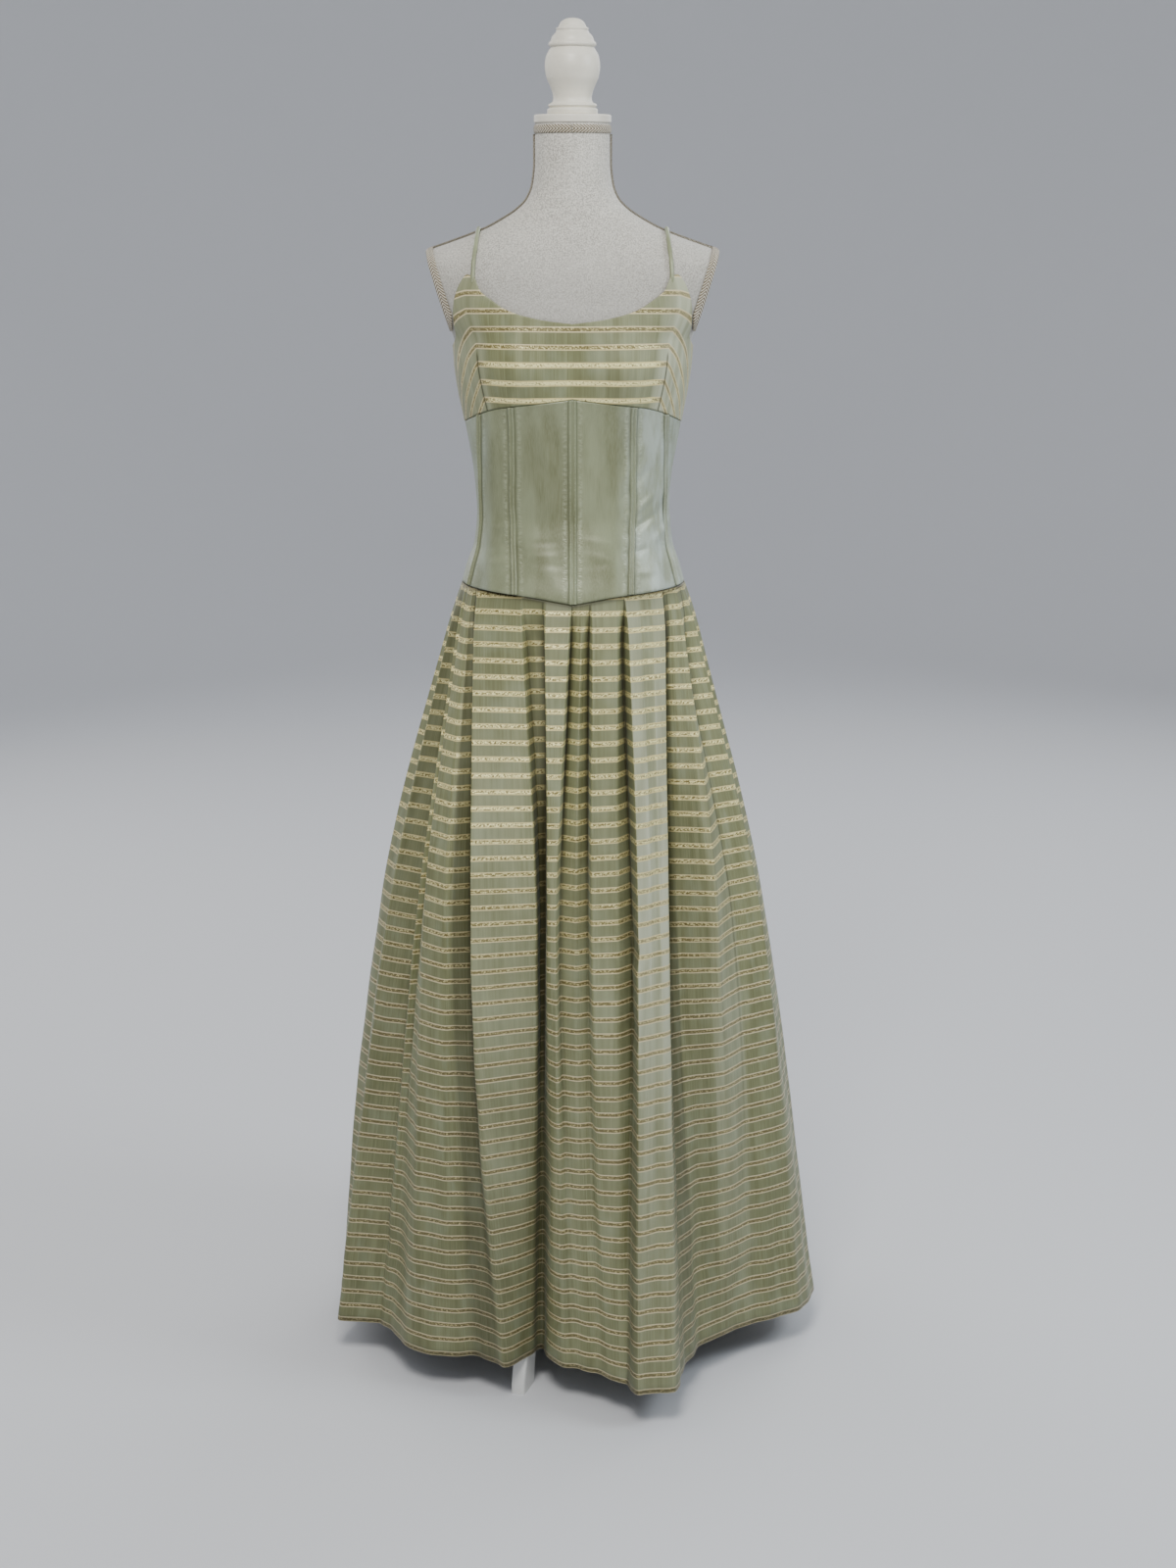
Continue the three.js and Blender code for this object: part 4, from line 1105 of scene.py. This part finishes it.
def skirt_surface(first, last, spacing, rows, seed):
    """Between two bends the cloth is a straight panel, bowed along its normal by a
    parabola. A bend is a quadratic Bezier whose middle point is the crease."""
    falls = np.linspace(1, 0, rows) ** 1.3
    samples = column_samples(first, last, spacing)
    k = samples[:, 0].astype(int) % len(CREASES)
    t = samples[:, 1]
    paths = crease_paths(falls)
    here = paths[:, k]
    before = paths[:, (k - 1) % len(CREASES)]
    after = paths[:, (k + 1) % len(CREASES)]
    valley = (CREASES[:, 1] <= VALLEY_LIFT)[k][None]
    limit = (LEAST_BEND + np.where(valley, VALLEY_BEND, RIDGE_BEND) * falls[:, None])[..., None]

    def bend_end(other):
        """Where the bend stops: a limited step from the crease towards the next one."""
        length = np.linalg.norm(other - here, axis=-1, keepdims=True)
        return here + (other - here) * np.minimum(BEND_PART, limit / length)

    start, end = bend_end(before), bend_end(after)
    q = np.clip((t + BEND_PART) / (2 * BEND_PART), 0, 1)[None, :, None]
    bend = (1 - q) ** 2 * start + 2 * q * (1 - q) * here + q * q * end
    left = (t < 0)[None, :, None]
    flat = np.clip((np.abs(t) - BEND_PART) / (1 - BEND_PART), 0, 1)[None, :, None]
    panel_start = np.where(left, start, end)
    panel_end = (np.where(left, before, after) + here) / 2
    grid = np.where(flat > 0, panel_start + (panel_end - panel_start) * flat, bend)
    panel = (k - (t < 0)) % len(CREASES)
    seam_deg = np.interp(samples[:, 0] + t / 2, np.arange(-1, len(CREASES) + 2), crease_degrees())
    bow = np.random.default_rng(seed).uniform(*BOW_RANGE, len(CREASES))[panel]
    length = np.linalg.norm(panel_end - panel_start, axis=-1) * 2
    height = bow[None] * length * (1 - (1 - flat[..., 0]) ** 2) * (0.25 + 0.75 * falls[:, None])
    return grid, height, falls, seam_deg


print("columns of the front skirt", len(column_samples(0, len(FRONT_CREASES), 9)))

# %% Pulls on the skirt: x and z of both ends, width, depth
SKIRT_PULLS = [
    (62, 640, 96, 560, 9, -2.2), (70, 560, 100, 600, 8, 1.8), (66, 520, 104, 470, 10, -2.0),
    (74, 455, 104, 500, 8, 1.6), (150, 190, 205, 120, 14, -3.0), (170, 120, 235, 175, 14, 2.6),
    (215, 105, 250, 160, 12, -2.2), (-30, 120, 40, 86, 14, -2.4), (-10, 70, 52, 104, 12, 2.0),
    (-262, 200, -205, 130, 14, -2.4), (-300, 150, -262, 86, 12, 2.0),
]


# %% [markdown]
# ### Folds, shades and gleams on the skirt
# A few soft lamps leave the slots between pleats too light, and the panels that mirror
# a lamp too dull. Numbers at each point mend both, with painted shade in the slots and
# hollows and a painted highlight on those panels. Hollows are found from the shape
# itself, by comparing each point with its neighbours' average. What else a panel shows
# is stated between two angles on the seam, with one value at each of five heights.

# %% Depth inside a fold
AVERAGE_STEP = 1.5


def fold_depth(grid, reach):
    """How far each point of a ring lies inside the ring's own moving average, in
    millimetres. The average has a bell of the given reach, over an even resampling."""
    depth = np.zeros(grid.shape[:2])
    half = int(reach / AVERAGE_STEP)
    bell = np.hanning(2 * half + 1)
    bell = bell / bell.sum()
    for row, ring in enumerate(grid):
        walked = lengths_along(ring, 0)
        even = np.arange(0, walked[-1] + 1, AVERAGE_STEP)
        mean = []
        for axis in (0, 1):
            flat = np.pad(np.interp(even, walked, ring[:, axis]), half, mode="edge")
            mean.append(np.interp(walked, even, np.convolve(flat, bell, "valid")))
        mean = np.stack(mean, axis=-1)
        depth[row] = ((mean - ring[:, :2]) * unit(mean)).sum(axis=-1)
    return depth


print("reach of an average", int(32 / AVERAGE_STEP), "samples each way")

# %% Shades and gleams by panel: first and last angle on the seam, value at each height
PANEL_HEIGHTS = (60, 400, 700, 850, 1000)
PANEL_SHADES = [
    (-80.5, -74.5, (0.0, 0.1, 0.35, 0.5, 0.5)),
    (-64.6, -61.4, (0.35, 0.5, 0.6, 0.6, 0.5)),
    (-61, -32, (0.13, 0.05, 0, 0, 0)),
    (-31.9, -17.6, (0.4, 0.5, 0.6, 0.25, 0.12)),
    (-1.4, 11.6, (0, 0, 0.08, 0.12, 0.06)),
    (12, 30, (0, -0.18, 0.05, 0.1, 0.1)),
    (31, 32.6, (0.4, 0.3, 0.3, 0.3, 0.3)),
    (56.2, 60, (0.2, 0.5, 0.6, 0.6, 0.6)),
    (60, 66, (0.06, 0.14, 0.22, 0.14, 0.05)),
]
PANEL_GLEAMS = [
    (-61, -32, (0.05, 0.16, 0.13, 0.05, 0)),
    (-15, 30, (0.03, 0.1, 0.1, 0.04, 0)),
    (32.8, 40.5, (0.12, 0.45, 0.8, 0.5, 0.32)),
    (40.5, 47.5, (0.1, 0.34, 0.58, 0.22, 0.1)),
    (47.5, 56, (0.12, 0.48, 0.8, 0.5, 0.28)),
    (66, 74, (0.05, 0.28, 0.12, 0.05, 0.0)),
]


def by_panel(rows, seam_deg, z):
    """The sum of each row's curve over height, on the columns between its two seam
    angles, with edges that rise within half a degree."""
    total = np.zeros_like(z)
    for start, stop, weights in rows:
        inside = np.clip(np.minimum(seam_deg - start, stop - seam_deg) * 2 + 0.5, 0, 1)
        total += inside[None] * smooth_curve(PANEL_HEIGHTS, weights)(z)
    return total


print("shaded panels", len(PANEL_SHADES), "gleaming panels", len(PANEL_GLEAMS))


# %% Painted shadows beside the pleats, and level stripes
def slit_shadows(grid, seam_deg, falls):
    """A pleat's edge lies on each deep valley. There a thin painted shadow shows, a bell of
    the distance from the valley, which is wider and weaker towards the hem."""
    walked = lengths_along(grid, 1)
    shadow_lines = np.zeros_like(walked)
    for deg in CREASES[CREASES[:, 1] == 0, 0]:
        column = np.argmin(np.abs(seam_deg - deg))
        if abs(seam_deg[column] - deg) < 0.01:
            away = walked - walked[:, column:column + 1]
            shadow_lines = np.maximum(shadow_lines, np.exp(-(away / (1.2 + 2.2 * falls[:, None])) ** 2))
    return shadow_lines * 0.95 * (1 - 0.9 * falls[:, None]) ** 1.5


def stripe_levels(grid, up):
    """A stripe lies nearly level, because the cloth is cut on the straight. Its distance
    from the hem is the mean over all columns at that height, plus a fifth of the
    column's own difference."""
    levels = np.linspace(HEM_Z - 5, FRONT_WAIST_Z + 20, 220)
    columns = range(grid.shape[1])
    mean = np.mean([np.interp(levels, grid[:, c, 2], up[:, c]) for c in columns], axis=0)
    level = np.interp(grid[..., 2], levels, mean)
    return level + 0.2 * (up - level)


# %% [markdown]
# ### The three skirt pieces
# Waves and pulls move the surface along its normal, less at the side seams and at the
# waist, where the stitches hold it. The map's first number is the distance round the
# hem, because a sewn gore keeps its warp, and its second is the stripe's level.

# %% Skirt pieces
def skirt_values(grid, falls, seam_deg):
    """What the material reads at each point: a painted glint high up; fold, painted shade
    in slots and hollows, under the waist seam, low down and on the listed panels; pale, a
    painted highlight on the gleaming panels; and walk, the distance round in metres."""
    fall, z = falls[:, None], grid[..., 2]
    # Painted shade: narrow slots and wider hollows darken, less towards the hem.
    slot_shade = np.clip((fold_depth(grid, 12) - 0.4) / 2.2, 0, 1) * np.clip(1.3 - 1.4 * fall, 0, 1)
    hollow_shade = np.clip((fold_depth(grid, 32) - 0.6 - 3 * fall) / (3.5 + 13 * fall), 0, 1)
    # Painted shade on the lower skirt, away from its front middle.
    low = 0.15 * np.clip((560 - z) / 380, 0, 1) * (1 - np.exp(-((grid[..., 0] - 25) / 42) ** 2))
    # Painted shadow just under the waist seam.
    seam_shadow = 0.75 * np.exp(-(fall / 0.004) ** 2) + 0.25 * np.exp(-(fall / 0.02) ** 2)
    fold = np.maximum(slot_shade, hollow_shade * (0.8 - 0.2 * fall)) + by_panel(PANEL_SHADES, seam_deg, z) + low
    fold = np.maximum(np.maximum(fold, slit_shadows(grid, seam_deg, falls)), seam_shadow)
    fold = np.clip(fold, 0, 1)
    # A painted glint that rises with height, and pale, a painted highlight on the gleaming panels.
    return {"painted_glint": np.clip((z - 480) / 320, 0, 1), "fold": fold,
            "pale": by_panel(PANEL_GLEAMS, seam_deg, z) * (1 - fold),
            "walk": lengths_along(grid, 1) * MM}


def skirt_piece(name, node, first, last, rows, seed, spacing=9):
    """The creased surface, moved along its normal by the bow, the waves and the pulls."""
    grid, bow, falls, seam_deg = skirt_surface(first, last, spacing, rows, seed)
    around = lengths_along(grid, 1)
    around = np.broadcast_to(around[:1], around.shape)
    up = lengths_along(grid, 0)
    fall, z = falls[:, None], grid[..., 2]
    waves = soft_waves(around, z, seed, (34, 95), (260, 900)) * (0.3 + 1.3 * fall)
    cross = soft_waves(around, z, seed + 1, (60, 160), (70, 190)) * 0.5 * fall
    pulls = pull_marks(grid[..., 0], z, SKIRT_PULLS) * (grid[..., 1] < 0)
    column = np.arange(grid.shape[1])
    still = np.clip(np.minimum(column, column[::-1]) / 3, 0, 1)[None]
    top = np.clip((1 - np.linspace(0, 1, rows)) * 14, 0, 1)[:, None]
    grid = grid + grid_normals(grid) * ((bow + waves + cross + pulls) * still * top)[..., None]
    uv = np.stack([around, stripe_levels(grid, up)], axis=-1)
    values = skirt_values(grid, falls, seam_deg)
    piece = make_piece(name, grid, STRIPED, [node], uv=uv, wall=SHELL_WALL, values=values)
    lay_cloth(piece, grid, around[0, -1], up[-1].max())
    return piece


FRONT_COUNT = len(FRONT_CREASES)
BACK_MIDDLE = FRONT_COUNT + BACK_FOLDS
skirt_piece("front_skirt", "skirt_front", 0, FRONT_COUNT, 108, 3)
skirt_piece("back_skirt_left", "skirt_back_left", FRONT_COUNT, BACK_MIDDLE, 96, 5)
skirt_piece("back_skirt_right", "skirt_back_right", BACK_MIDDLE, len(CREASES), 96, 8)

# %% [markdown]
# ## The bodice
# One front with a dart under each bust point, and two backs. The stripes run level
# between the darts. Outside them the cloth is turned, so there they slope down
# towards the side seam, and more steeply lower down. The form's own surface, moved
# out, gives the shape, because a fitted bodice has no other.

# %% Darts, stripes and the painted glint by height
dart_at = table_curve([(1230, 56), (1254, 57), (1315, 60), (1360, 62.5), (1420, 64)], 1)
slope_at = table_curve([(1225, 1.35), (1290, 1.15), (1330, 0.75), (1375, 0.4), (1420, 0.25)], 1)
painted_glint_at = table_curve([(1230, 1.9), (1300, 1.9), (1312, 1.5), (1335, 0.3), (1420, 0.1)], 1)
BODICE_PITCH = 21.2
LOWEST_STRIPE_Z = 1261.2
DART_COLUMN, DART_LEAN_REACH = 62, 22
DART_TIP_Z = 1322
DART_WIDTH, DART_DEPTH = 1.1, 0.5
DART_RADIUS = 150
ZIP_EDGE_DEG = 1.9
print("dart at the tip", float(dart_at(DART_TIP_Z)), "degrees")


# %% Bodice surface
def dart_line(deg, z):
    """1 on each dart's seam below the bust point, fading within a millimetre."""
    away = np.radians(fold_angle(deg) - dart_at(z)) * DART_RADIUS
    return np.exp(-(away / DART_WIDTH) ** 2) * np.clip((DART_TIP_Z - z) / 6, 0, 1)


def bodice_surface(columns, rows):
    """The form moved out, from the seam under the bust to the neckline. The columns
    lean so that one of them follows each dart."""
    share = np.linspace(0, 1, rows)[:, None]
    dart_z = empire_at(58.0) + (neckline_at(61.0) - empire_at(58.0)) * share
    beside = np.clip(1 - np.abs(fold_angle(columns) - DART_COLUMN) / DART_LEAN_REACH, 0, 1)[None]
    lean = (dart_at(dart_z) - DART_COLUMN) * beside * (1 - share ** 4)
    deg = columns[None] + np.sign(columns)[None] * lean
    fold = fold_angle(deg)
    low, high = empire_at(fold) + SEAM_GAP, neckline_at(fold)
    z = low + (high - low) * share
    grid = over_form(deg, z, BODICE_GAP + CLOTH_WALL)
    ripples = soft_waves(columns[None] * 2.1, z, 21, (14, 36), (60, 200)) * 0.35
    hold = np.clip(np.minimum(share, 1 - share) * 8, 0, 1)
    out = ripples * hold - DART_DEPTH * dart_line(deg, z)
    return grid + grid_normals(grid) * out[..., None], deg, z


def stripe_rise(grid, deg, z):
    """Height plus slope times the distance outside the dart, as a stripe's distance."""
    fold = fold_angle(deg)
    outside = np.radians(np.maximum(0, fold - dart_at(z))) * np.hypot(grid[..., 0], grid[..., 1])
    outside = np.where(fold < 90.5, outside, 0)
    rise = z + slope_at(z) * outside
    return ((rise - LOWEST_STRIPE_Z) / BODICE_PITCH + 1) * STRIPE_PITCH / MM


# %% Bodice pieces
DART_CORNERS = np.array([57, 61.3, 61.7, 62, 62.3, 62.7, 64, 67, 70, 75], float)


def bodice_piece(name, node, start, stop, count, rows=64):
    """Even columns, and closer ones beside each dart. Outside the darts a painted highlight
    whitens the front, most on its left, and the gold's painted glint is weaker."""
    columns = np.linspace(start, stop, count)
    corners = np.concatenate([DART_CORNERS, -DART_CORNERS])
    columns = np.unique(np.concatenate([columns, corners[(corners > start) & (corners < stop)]]))
    grid, deg, z = bodice_surface(columns, rows)
    around = lengths_along(grid, 1)
    uv = np.stack([np.broadcast_to(around[rows // 2][None], z.shape), stripe_rise(grid, deg, z)], axis=-1)
    inside = np.clip((dart_at(z) - 2 - fold_angle(deg)) / 6, 0, 1)
    # Painted highlight on the front, outside the darts and most on the left.
    gleam = (1 - inside) * np.where(grid[..., 0] > 0, 0.55, 0.22) + 0.12 * np.clip(grid[..., 0] / 70, 0, 1)
    # The painted glint is weaker outside the darts, and fold paints shade along each dart's seam.
    values = {"painted_glint": painted_glint_at(z) * (0.15 + 0.85 * inside), "fold": dart_line(deg, z),
              "pale": gleam * (grid[..., 1] < 0), "walk": around * MM}
    piece = make_piece(name, grid, STRIPED, [node], uv=uv, wall=SHELL_WALL, values=values)
    lay_cloth(piece, grid, around[0, -1], lengths_along(grid, 0)[-1].max())


bodice_piece("front_bodice", "bodice_front", -89.93, 89.93, 240)
bodice_piece("back_bodice_left", "bodice_back_left", 90.07, 180 - ZIP_EDGE_DEG, 110)
bodice_piece("back_bodice_right", "bodice_back_right", 180 + ZIP_EDGE_DEG, 269.93, 110)

# %% [markdown]
# ## The corset
# Eight plain panels meet under stitched bone channels. A panel is the form moved
# out, a little fuller in its middle. Short level pulls sit at the waist.

# %% Corset seams: angle at the low edge, the waist and the high edge
CORSET_SEAMS = [(0, 0, 0), (35.8, 45.6, 42), (70, 74.2, 64), (124, 116, 120), (180, 180, 180)]
CORSET_HEIGHTS = (1022, 1131, 1250)
corset_seams = [smooth_curve(CORSET_HEIGHTS, seam) for seam in CORSET_SEAMS]
BACK_PANEL = 3
SEAM_INSET_DEG = 0.08
print("seams at the waist", [float(seam(CORSET_HEIGHTS[1])) for seam in corset_seams])

# %% Pulls on the corset: x and z of both ends, width, depth
CORSET_PULLS = [
    (-92, 1085, -62, 1078, 4, -1.2), (-62, 1071, -8, 1074, 3.6, 0.5), (-50, 1062, -6, 1060, 3.4, -0.45),
    (6, 1078, 54, 1066, 3.8, 0.6), (10, 1060, 50, 1063, 3.4, -0.45), (60, 1072, 96, 1080, 3.6, -1.3),
    (60, 1112, 104, 1148, 4.5, 2.6), (62, 1094, 108, 1124, 4.5, -2.4), (58, 1138, 98, 1182, 5, -2.2),
    (60, 1160, 88, 1214, 5, 2.2), (104, 1110, 122, 1150, 5, -2.0), (100, 1084, 124, 1112, 5, 2.0),
    (-102, 1100, -64, 1112, 4.5, 1.4), (-44, 1244, -30, 1176, 6, 1.1),
    (24, 1246, 36, 1172, 6, -1.1), (-106, 1058, -78, 1066, 4.5, 1.3), (70, 1236, 86, 1180, 5, 1.2),
    (-26, 1240, -18, 1186, 5, -0.9), (14, 1236, 18, 1160, 5, 0.8), (-98, 1160, -70, 1206, 6, 1.0),
    (-60, 1086, -14, 1090, 3.4, -0.6), (8, 1094, 50, 1086, 3.6, 0.6), (64, 1052, 104, 1048, 4, 1.1),
]


# %% Corset panels
def corset_surface(k, side, columns, rows):
    """A panel between two seams. Its fullness is a half sine across, in tenths of a
    millimetre, and the pulls are added to it."""
    share = np.linspace(0, 1, rows)[:, None]
    across = np.linspace(0, 1, columns)[None]
    height = CORSET_HEIGHTS[0] + (CORSET_HEIGHTS[2] - CORSET_HEIGHTS[0]) * share
    start = corset_seams[k](height) + SEAM_INSET_DEG
    stop = corset_seams[k + 1](height) - (ZIP_EDGE_DEG if k == BACK_PANEL else SEAM_INSET_DEG)
    deg = side * (start + (stop - start) * across)
    if side < 0:
        deg = deg[:, ::-1]
    fold = fold_angle(deg)
    low, high = waist_at(fold) + SEAM_GAP / 2, empire_at(fold) - SEAM_GAP / 2
    z = low + (high - low) * share
    grid = over_form(deg, z, CLOTH_GAP + CLOTH_WALL)
    ripples = soft_waves(grid[..., 0] + grid[..., 1], z, 40 + k, (26, 70), (90, 260)) * 0.45
    pulls = pull_marks(grid[..., 0], z, CORSET_PULLS) * (grid[..., 1] < 0)
    full = 0.5 * np.sin(np.pi * across)
    hold = np.clip(np.minimum(share, 1 - share) * 9, 0, 1)
    hold = hold * np.clip(np.minimum(across, 1 - across) * 8, 0, 1)
    return grid + grid_normals(grid) * ((ripples + pulls + full) * hold)[..., None]


GLEAM_X, GLEAM_AT_X = (-124, -106, -100, 52, 80, 115), (0.3, 0.15, 0, 0, 0.34, 0.6)
GLEAM_Y, GLEAM_AT_Y = (-55, 0, 30), (1, 0.7, 0)


def corset_panel(k, name, side, word, columns, rows=90):
    """Fold paints shade beside each channel and, a little, over the front right panel;
    pucker marks its stitching with bumps and a painted highlight; and pale is a painted
    highlight at both sides of the waist."""
    grid = corset_surface(k, side, columns, rows)
    walked = lengths_along(grid, 1)
    from_seam = np.minimum(walked, walked[:, -1:] - walked)
    # Painted shade over the front right panel.
    shade = 0.13 if (name, word) == ("front", "right") else 0
    # Painted highlight at both sides of the front, most on the left.
    gleam = np.interp(grid[..., 0], GLEAM_X, GLEAM_AT_X) * np.interp(grid[..., 1], GLEAM_Y, GLEAM_AT_Y)
    # Painted shade beside each channel.
    values = {"fold": 0.7 * np.exp(-(from_seam / 6.2) ** 8) + shade,
              "pucker": np.exp(-((from_seam - 9.5) / 2.6) ** 2), "pale": gleam}
    piece = make_piece(f"{name}_panel_{word}", grid, PLAIN, [f"corset_{name}_{word}"],
                       wall=SHELL_WALL, values=values)
    lay_cloth(piece, grid, walked[:, -1].max(), lengths_along(grid, 0)[-1].max())


for k, (panel_name, columns) in enumerate([("front", 60), ("mid", 48), ("side", 60), ("back", 70)]):
    for side, word in SIDES:
        corset_panel(k, panel_name, side, word, columns)

# %% [markdown]
# ### Bone channels
# A strip of cloth is stitched down on both sides of each seam, over a bone. Its
# profile has two soft ribs, and the stitching puckers its edges every few
# millimetres. Raised geometry carries both, because they catch the light. A painted
# highlight lies on the ribs, and painted shade in the groove between them and along
# the strip's edges.

# %% Bone channels
CHANNEL_WALL, CHANNEL_LIFT, CHANNEL_INSET = 0.5, 0.35, 0.6
RIB_PLACE, RIB_WIDTH, RIB_HEIGHT = 0.52, 0.2, 1.5
STITCH_PITCH = 4.3


def channel(name, node, k, side, width, rows=190, columns=19):
    """Two bells across the strip, and small sine puckers that fade to its middle."""
    share = np.linspace(0, 1, rows)[:, None]
    across = np.linspace(-1, 1, columns)[None]
    height = CORSET_HEIGHTS[0] + (CORSET_HEIGHTS[2] - CORSET_HEIGHTS[0]) * share
    middle = side * corset_seams[k](height)
    low = waist_at(fold_angle(middle))
    z = low + CHANNEL_INSET + (empire_at(fold_angle(middle)) - 2 * CHANNEL_INSET - low) * share
    centre = form_point(middle, z)
    half = np.degrees(width / 2 / np.hypot(centre[..., 0], centre[..., 1]))
    ribs = np.exp(-((np.abs(across) - RIB_PLACE) / RIB_WIDTH) ** 2)
    pucker = np.sin(z * 2 * np.pi / STITCH_PITCH + 2 * across) * np.abs(across) ** 2 * 0.16
    edge = np.clip((1 - np.abs(across)) * 6, 0, 1)
    out = CLOTH_GAP + CLOTH_WALL + CHANNEL_LIFT + (0.4 + RIB_HEIGHT * ribs + pucker) * edge
    grid = over_form(middle + half * across, z + 0 * across, out)
    # Painted shade in the groove between the ribs and along the strip's edges.
    groove_and_edge_shade = 0.35 * np.exp(-(across / 0.2) ** 2) + np.clip((np.abs(across) - 0.72) / 0.16, 0, 1)
    # A painted highlight on the ribs, and on the channels towards the left.
    values = {"fold": 0.75 * groove_and_edge_shade + 0 * z, "pucker": 0.5 * ribs + 0 * z,
              "pale": np.interp(grid[..., 0], [50, 115], [0, 0.35])}
    piece = make_piece(name, grid, PLAIN, [node], wall=CHANNEL_WALL, values=values)
    lay_cloth(piece, grid, lengths_along(grid, 1)[:, -1].max(), lengths_along(grid, 0)[-1].max())


channel("centre_channel", "bone_channel_centre", 0, 1, 11)
for k, place in [(1, "mid"), (2, "outer"), (3, "rear")]:
    for side, word in SIDES:
        channel(f"{place}_channel_{word}", f"bone_channel_{place}_{word}", k, side, 8.5)

# %% [markdown]
# ## Straps and zip
# Each strap is a narrow rolled tube that runs over the shoulder. The zip at the
# back is two coils of thread that mesh, below a small brass slider whose solid
# from the CAD model is good as it is.

# %% Straps: x and height of each station, and 1 in front or 0 behind
STRAP_STATIONS = [
    (121.6, 1404, 1), (121, 1412, 1), (120.2, 1423, 1), (119.6, 1430, 1), (118, 1442, 1),
    (116.5, 1454, 1), (115.5, 1461, 1), (115.2, 1464.2, 1),
    (115, 1461.5, 0), (114, 1453, 0), (112, 1440, 0), (108, 1420, 0), (103, 1395, 0), (98, 1365, 0),
    (93, 1333, 0), (90, 1305, 0),
]
STRAP_SINK = (2.4, 1.6, 0.4)
STRAP_OUT, STRAP_RADIUS = 3.4, 2.7


def strap(side, word):
    """A tube along a smooth path through the stations, with faint spiral creases. Its
    first stations sink into the bodice's point."""
    x, z, front = np.array(STRAP_STATIONS, float).T
    depth = np.where(front > 0, -section_depth(x, z, form_front), section_depth(x, z, form_back))
    sink = np.pad(STRAP_SINK, (0, len(x) - len(STRAP_SINK)))
    route = over_form(np.degrees(np.arctan2(x, -depth)), z, STRAP_OUT - sink)
    walked = lengths_along(route, 0)
    at = np.linspace(0, walked[-1], 260)
    path = smooth_curve(walked, route)(at)
    path[:, 0] *= side
    radius = STRAP_RADIUS + 0.16 * np.sin(at / 3.1) + 0.12 * np.sin(at / 7.3 + 1)
    print("strap", word, "length", round(float(walked[-1]), 1))
    rolled = [tube(path, radius, 14)]
    return joined_tubes(f"rolled_strap_{word}", rolled, PLAIN, [f"strap_{word}"])


for side, word in SIDES:
    strap(side, word)

# %% Zip coils
COIL_SPAN_Z, COIL_OUT = (1028, 1289), 2.1
COIL_PITCH, COIL_THREAD = 1.9, 0.28
COIL_OFFSET, COIL_HALF_WIDTH, COIL_HALF_DEPTH = 1.0, 1.2, 0.45


def zip_coils(rings=2600):
    """Two flat helices side by side, half a turn apart, on the line of the back opening."""
    z = np.linspace(*COIL_SPAN_Z, rings)
    base = over_form(np.full(len(z), 180.0), z, COIL_OUT)
    grids = []
    for side, start in ((-1, 0), (1, np.pi)):
        angle = z * 2 * np.pi / COIL_PITCH + start
        x = side * COIL_OFFSET + COIL_HALF_WIDTH * np.cos(angle)
        helix = base + np.stack([x, COIL_HALF_DEPTH * np.sin(angle), 0 * z], axis=-1)
        grids.append(tube(helix, COIL_THREAD, 5))
    return joined_tubes("zip_teeth", grids, BRASS, ["zip_coil"])


print("zip faces", len(zip_coils().data.polygons))
for node in ("zip_slider", "zip_pull"):
    for material_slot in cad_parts[node].material_slots:
        material_slot.material = BRASS

# %% [markdown]
# ## Floor and light
# A plain pale floor turns up far away into a round wall, so that no edge shows
# behind the object from any side. The light is soft: a warm lamp high in front, a
# cool one high on the left, two large ones from behind, and an even sky.

# %% Floor
def studio_floor():
    """A profile of radius and height spun round: flat, then a quarter circle, then up."""
    turn = np.linspace(0, np.pi / 2, 16)
    radius = np.concatenate([[0, 1.5, 3], 4.6 + 2.2 * np.sin(turn), [6.8]])
    height = np.concatenate([[0, 0, 0], 2.2 - 2.2 * np.cos(turn), [6.5]])
    angle = np.linspace(0, 2 * np.pi, 96, endpoint=False)
    x, y = radius[:, None] * np.sin(angle)[None], -radius[:, None] * np.cos(angle)[None]
    points = np.stack([x, y, np.broadcast_to(height[:, None], x.shape)], axis=-1)
    mesh = bpy.data.meshes.new("floor")
    faces = grid_faces(*points.shape[:2], closed=True)[:, ::-1]
    mesh.from_pydata(points.reshape(-1, 3).tolist(), [], faces.tolist())
    mesh.polygons.foreach_set("use_smooth", np.ones(len(faces), bool))
    floor = bpy.data.objects.new("floor", mesh)
    bpy.context.scene.collection.objects.link(floor)
    finish = Finish("pale floor", Roughness=0.9)
    finish.set("Base Color", srgb(218, 219, 222))
    mesh.materials.append(finish.material)
    print("floor radius", float(radius.max()))


studio_floor()


# %% Lights: name, place, target, size, power, colour
LAMPS = [
    ("top", (-0.2, -1.9, 2.95), (0, 0, 1.25), 0.9, 58, (1.0, 0.985, 0.95)),
    ("high_left", (2.0, -0.7, 2.3), (0, 0, 1.3), 0.9, 27, (0.86, 0.94, 1.0)),
    ("back_left", (1.8, 2.8, 2.6), (0, 0, 1.0), 2.6, 42, (0.95, 0.98, 1.0)),
    ("back_right", (-2.2, 2.4, 2.2), (0, 0, 1.0), 2.4, 30, (1.0, 0.98, 0.95)),
]


def soft_light(name, place, target, size, power, colour):
    """A square area lamp that looks from its place at the target."""
    data = bpy.data.lights.new(name, "AREA")
    data.size = size
    data.energy = power
    data.color = colour
    lamp = bpy.data.objects.new(name, data)
    lamp.location = place
    away = np.array(place, float) - np.array(target, float)
    yaw = np.arctan2(away[0], -away[1])
    tilt = np.arctan2(np.hypot(away[0], away[1]), away[2])
    lamp.rotation_euler = (float(tilt), 0, float(yaw))
    bpy.context.scene.collection.objects.link(lamp)


for lamp_row in LAMPS:
    soft_light(*lamp_row)
print("lamps", len(LAMPS))

# %% Sky
world = bpy.data.worlds.new("studio")
world.use_nodes = True
world.node_tree.nodes["Background"].inputs["Color"].default_value = srgb(216, 219, 224)
world.node_tree.nodes["Background"].inputs["Strength"].default_value = 0.85
bpy.context.scene.world = world
